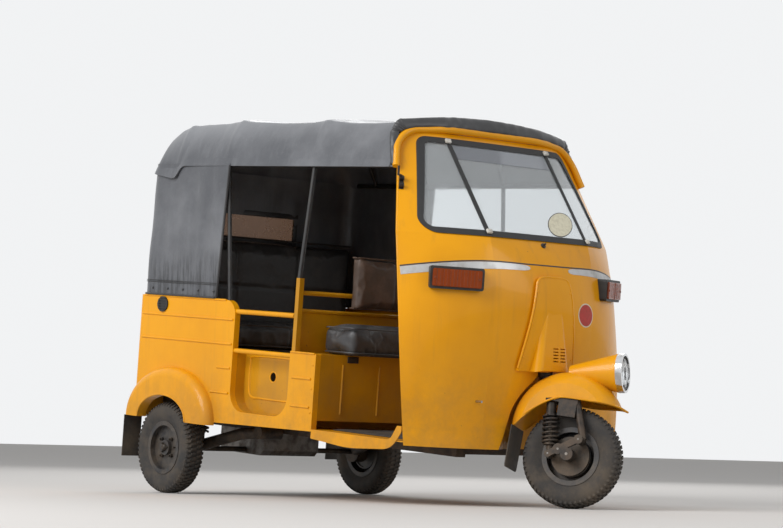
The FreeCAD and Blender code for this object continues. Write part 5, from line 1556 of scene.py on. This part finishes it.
@dataclass
class FrontEnd:
    """Spring, lamp inside, fender bead, levers and cables on the steered fork."""

    stance: Stance
    link_y: float = -0.0913
    spring_offset: float = 0.0234
    lamp_tilt: float = math.radians(8)

    def piece(self, sketch: Sketch, name: str, finish: Finish, slot: str, replaces: tuple[str, ...] = (),
              weld: bool = False) -> None:
        """Turn a sketch into a piece of the fork."""
        sketch.piece(name, finish, slot, self.stance.fork, Body.FORK, replaces, weld)

    def spring(self) -> None:
        """Coil spring over its damper, in place of the rigid stack."""
        sketch, lead, y = Sketch(), self.stance.lead, self.link_y + self.spring_offset
        foot, head = Vector((lead - 0.080, y, -0.008)), Vector((lead - 0.110, y, 0.2087))
        run, side = (head - foot).normalized(), Vector((0, 0.0085, 0))
        damper(sketch, foot, run, (0.046, 0.158, 0.0215, 6.6, 0.0050),
               ((0.008, 0.040, 0.0135), (0.040, 0.046, 0.0265), (0.046, 0.160, 0.0105),
                (0.158, 0.166, 0.0265), (0.166, 0.212, 0.0205)), 20)
        sketch.tube([foot - side, foot + side], 0.016, 20)
        self.piece(sketch, "front_coil", Finish.STEEL, "dark_steel", ("front_spring",))

    def bolts(self) -> None:
        """Pivot bolts and nuts along the link."""
        sketch, washer = Sketch(), 0.0022
        for x, z, r in ((0.038, 0.066, 0.010), (-0.039, 0.016, 0.011), (-0.078, -0.008, 0.009),
                        (0, 0, 0.014)):
            place = Vector((self.stance.lead + x, self.link_y, z))
            sketch.lathe([(0.0005, 0.0), (r * 1.35, 0.0), (r * 1.35, -washer), (0.0005, -washer)], 24,
                         Matrix.Translation(place - Vector((0, 0.0001, 0))))
            nut(sketch, place - Vector((0, washer, 0)), r, -0.008)
        self.piece(sketch, "link_bolts", Finish.ALLOY, "cast_metal")

    def lamp(self) -> None:
        """Reflector and bulb behind the lens."""
        bowl = (self.stance.fork @ Matrix.Translation((self.stance.lead + 0.132, 0, 0.372))
                @ Matrix.Rotation(-self.lamp_tilt, 4, "Y") @ Matrix.Rotation(math.radians(-90), 4, "Z"))
        dish = [(0.0005 + 0.068 * t, -0.045 + 0.048 * t * t) for t in arc(0, 1, 14)]
        dish += [(r + 0.0012, y - 0.0012) for r, y in reversed(dish)]
        bulb = [(0.0005, 0.006), (0.006, 0.004), (0.0085, -0.004), (0.0075, -0.014), (0.005, -0.024),
                (0.009, -0.026), (0.009, -0.040)]
        for name, finish, profile, segments in (("headlamp_reflector", Finish.CHROME, dish, 56),
                                                ("headlamp_bulb", Finish.WHITE, bulb, 20)):
            sketch = Sketch()
            sketch.lathe(profile, segments, bowl)
            sketch.piece(name, finish, "chrome", Matrix(), Body.FORK)

    def fender_bead(self) -> None:
        """Rolled bead along the fender's lower rim."""
        sketch, lead = Sketch(), self.stance.lead
        outline = ((-0.246, 0.097), (-0.200, 0.146), (-0.150, 0.187), (-0.105, 0.214), (-0.060, 0.229),
                   (0.040, 0.2295), (0.150, 0.2292), (0.195, 0.217))
        for sign in (-1, 1):
            path = [(lead + x, sign * (fender_half(math.hypot(x + 0.040, z - 0.112)) + 0.0005), z)
                    for x, z in outline]
            sketch.tube(rounded(path, 8), 0.0042, 8)
        self.piece(sketch, "fender_bead", Finish.YELLOW, "yellow_paint", weld=True)

    def handlebar(self) -> None:
        """Levers, perches, switch box and cables."""
        axis = self.stance.steering_axis
        middle = axis * 0.800 - Vector((0.060, 0, 0))
        metal, rubber, cable = Sketch(), Sketch(), Sketch()
        ahead = Vector((0.9, 0, 0.1)).normalized()
        for sign in (-1, 1):
            end, bend = Vector((-0.110, sign * 0.285, -0.010)), Vector((-0.040, sign * 0.170, 0))
            run = (end - bend).normalized()
            root = middle + end - run * 0.112
            metal.tube([root - run * 0.020, root + run * 0.014], 0.0165, 16)
            lever = rounded([root + ahead * out + run * along for out, along in (
                (0.014, 0), (0.038, 0.020), (0.050, 0.070), (0.044, 0.118))], 6)
            metal.tube(lever, 0.0052, 8)
            metal.tube([lever[-1] - run * 0.004, lever[-1] + run * 0.006], 0.0085, 12)
            for back in arc(0.095, 0.011, 9):
                at = middle + end - run * back
                rubber.tube([at, at + run * 0.0045], 0.0172, 20)
            start = root + ahead * 0.018
            cable.tube(rounded([start, start - run * 0.050 + Vector((0.030, 0, -0.010)),
                                middle + Vector((0.055, sign * 0.045, -0.075)),
                                axis * 0.68 + Vector((0.030, sign * 0.026, 0)),
                                axis * 0.60 + Vector((0.024, sign * 0.022, 0))], 8), 0.0032, 6)
        metal.block(middle - Vector((0.020, 0.036, 0.022)), middle + Vector((0.022, 0.036, 0.030)),
                    bevel=0.006, steps=2)
        self.piece(metal, "handlebar_levers", Finish.ALLOY, "cast_metal")
        self.piece(rubber, "grip_ribs", Finish.RUBBER, "seal_rubber")
        self.piece(cable, "control_cables", Finish.RUBBER, "seal_rubber")

    def build(self) -> None:
        """Make the pieces."""
        for make in (self.spring, self.bolts, self.lamp, self.fender_bead, self.handlebar):
            make()


def fender_half(reach: float) -> float:
    """Half width of the front fender's crowned section at a distance from its centre."""
    sag, half = 0.063, 0.097
    radius = (half * half + sag * sag) / (2 * sag)
    drop = 0.238 - reach
    if drop >= sag:
        return half
    return math.sqrt(max(0.0, radius ** 2 - (radius - drop) ** 2))


# Scene

@dataclass
class Studio:
    """Camera at the photograph's place, pale floor and soft light."""

    place: Point = (8.3191, -6.9907, 0.2390)
    yaw: float = 0.87813
    pitch: float = 0.0735
    roll: float = 0.02409
    focal_pixels: float = 2464.3
    image_width: float = 783.0
    sensor: float = 36.0
    floor_reach: float = 60.0
    floor_colour: Colour = (0.60, 0.58, 0.56)
    sky_colour: Colour = (0.93, 0.94, 0.95)
    sky_light: float = 0.42
    sky_seen: float = 0.95

    def camera(self) -> None:
        """Camera fitted to the photograph."""
        level = Vector((math.cos(self.yaw), math.sin(self.yaw), 0))
        ahead = Vector((-level.y, level.x, 0)) * math.cos(self.pitch) + Vector((0, 0, math.sin(self.pitch)))
        right = level * math.cos(self.roll) + level.cross(ahead) * math.sin(self.roll)
        turn = Matrix((right, right.cross(ahead), -ahead)).transposed().to_4x4()
        data = bpy.data.cameras.new("Camera")
        data.sensor_width = self.sensor
        data.lens = self.focal_pixels / self.image_width * self.sensor
        data.clip_end = 200
        camera = linked("Camera", data)
        camera.matrix_world = Matrix.Translation(self.place) @ turn
        bpy.context.scene.camera = camera

    def floor(self) -> None:
        """Pale ground plane."""
        sketch, reach = Sketch(), self.floor_reach
        sketch.cap([Vector((x * reach, y * reach, 0)) for x, y in ((-1, -1), (1, -1), (1, 1), (-1, 1))])
        g = Graph("Studio floor")
        g.set(Base_Color=self.floor_colour, Roughness=0.9)
        made = sketch.object("studio_floor", Finish.WHITE, weld=False)
        made.data.materials[0] = g.material

    def lamps(self) -> None:
        """Broad soft lamps; each row gives the name, place, aim, size and power."""
        for name, place, aim, size, power in (
            ("Key", (0.2, -7.3, 5.6), (0, 0, 0.8), 5.0, 640),
            ("Front", (8.0, 1.5, 4.0), (0.5, 0, 0.8), 4.0, 120),
            ("Back", (-5.0, 5.0, 5.0), (0, 0, 0.9), 5.0, 200),
        ):
            data = bpy.data.lights.new(name, "AREA")
            data.size, data.energy = size, power
            lamp = linked(name, data)
            lamp.location = place
            lamp.rotation_mode = "QUATERNION"
            lamp.rotation_quaternion = (Vector(aim) - Vector(place)).to_track_quat("-Z", "Y")

    def sky(self) -> None:
        """Pale sky, brighter to the camera and in reflections than as a light."""
        world = bpy.data.worlds.new("Sky")
        world.use_nodes = True
        nodes, link = world.node_tree.nodes, world.node_tree.links.new
        background = nodes["Background"]
        path, seen, strength = (nodes.new(f"ShaderNode{kind}") for kind in ("LightPath", "Math", "MapRange"))
        seen.operation = "MAXIMUM"
        strength.inputs["To Min"].default_value = self.sky_light
        strength.inputs["To Max"].default_value = self.sky_seen
        link(path.outputs["Is Camera Ray"], seen.inputs[0])
        link(path.outputs["Is Glossy Ray"], seen.inputs[1])
        link(seen.outputs[0], strength.inputs["Value"])
        link(strength.outputs["Result"], background.inputs["Strength"])
        background.inputs["Color"].default_value = (*self.sky_colour, 1)
        bpy.context.scene.world = world

    def build(self) -> None:
        """Set up everything that isn't the vehicle."""
        for make in (self.camera, self.floor, self.lamps, self.sky):
            make()


NODE_FINISH = {
    Finish.YELLOW: ("cowl", "nose_cover", "header_brow", "side_panel_right", "side_panel_left", "rear_panel",
                    "engine_cover", "wheel_flares", "entry_rails", "front_fender", "floor_pan"),
    # The seat box, partition, rest bar and step recess get the darker yellow as painted shade, not as a paint
    # of their own.
    Finish.YELLOW_PAINTED_SHADE: ("driver_seat_box", "partition", "driver_rest_bar", "step_recess"),
    Finish.BLACK: ("hood_frame", "seat_tub", "handlebar"),
    Finish.STEEL: ("underframe", "trailing_arms", "rear_shocks", "fork", "fork_link", "front_spring",
                   "steering_head"),
    Finish.RUBBER: ("screen_seal",),
    Finish.GLASS: ("screen_glass",),
    Finish.PLASTIC: ("indicator_housings", "side_vents"),
    Finish.AMBER: ("indicator_lenses",),
    Finish.RED: ("tail_lamps",),
    Finish.FLAP: ("rear_flaps", "front_flap"),
    Finish.FILM: ("rear_window",),
    Finish.BROWN: ("driver_seat", "driver_backrest"),
    Finish.DARK_HIDE: ("passenger_seat", "passenger_backrest"),
    Finish.ALLOY: ("engine_block",),
    Finish.BRIGHT: ("tie_hook",),
    Finish.CHROME: ("headlamp_ring",),
    Finish.LAMP: ("headlamp_lens",),
    Finish.RIM: ("front_rim", "rear_right_rim", "rear_left_rim"),
}


def dress_nodes(nodes: dict[str, bpy.types.Object]) -> None:
    """Give every carried-over CAD node its finish.

    Args:
        nodes: the frame's node objects by name.
    """
    for finish, names in NODE_FINISH.items():
        for name in names:
            if name in nodes:
                nodes[name].data.materials.clear()
                nodes[name].data.materials.append(finish.material)


def main() -> None:
    """Build the vehicle's looks and the studio round it."""
    logging.basicConfig(level=logging.INFO)
    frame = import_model()
    low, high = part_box("rear_right_tyre")
    left_low, left_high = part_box("rear_left_tyre")
    track = (left_low.y + left_high.y) / 2 - (low.y + high.y) / 2
    stance = Stance(rear_axle=Vector(((low.x + high.x) / 2, 0, 0.206)), track=track)
    nodes = frame["nodes"]
    dress_nodes(nodes)
    cowl = Skin(nodes, ("cowl",), stance.body)
    glass = Skin(nodes, ("screen_glass", "screen_seal"), stance.body)
    Canopy(stance).build()
    make_seats(stance)
    Trim(stance, cowl, glass).build()
    Cabin(stance).build()
    FrontEnd(stance).build()
    for name, body, place, outer in (("front", Body.FRONT_WHEEL, stance.front_hub, 1),
                                     ("rear_right", Body.REAR_RIGHT, stance.rear_hub(-1), -1),
                                     ("rear_left", Body.REAR_LEFT, stance.rear_hub(1), 1)):
        Wheel(name, body, place, outer).build()
    Studio().build()
    bpy.context.scene.view_settings.view_transform = "Standard"


if __name__ == "__main__":
    main()
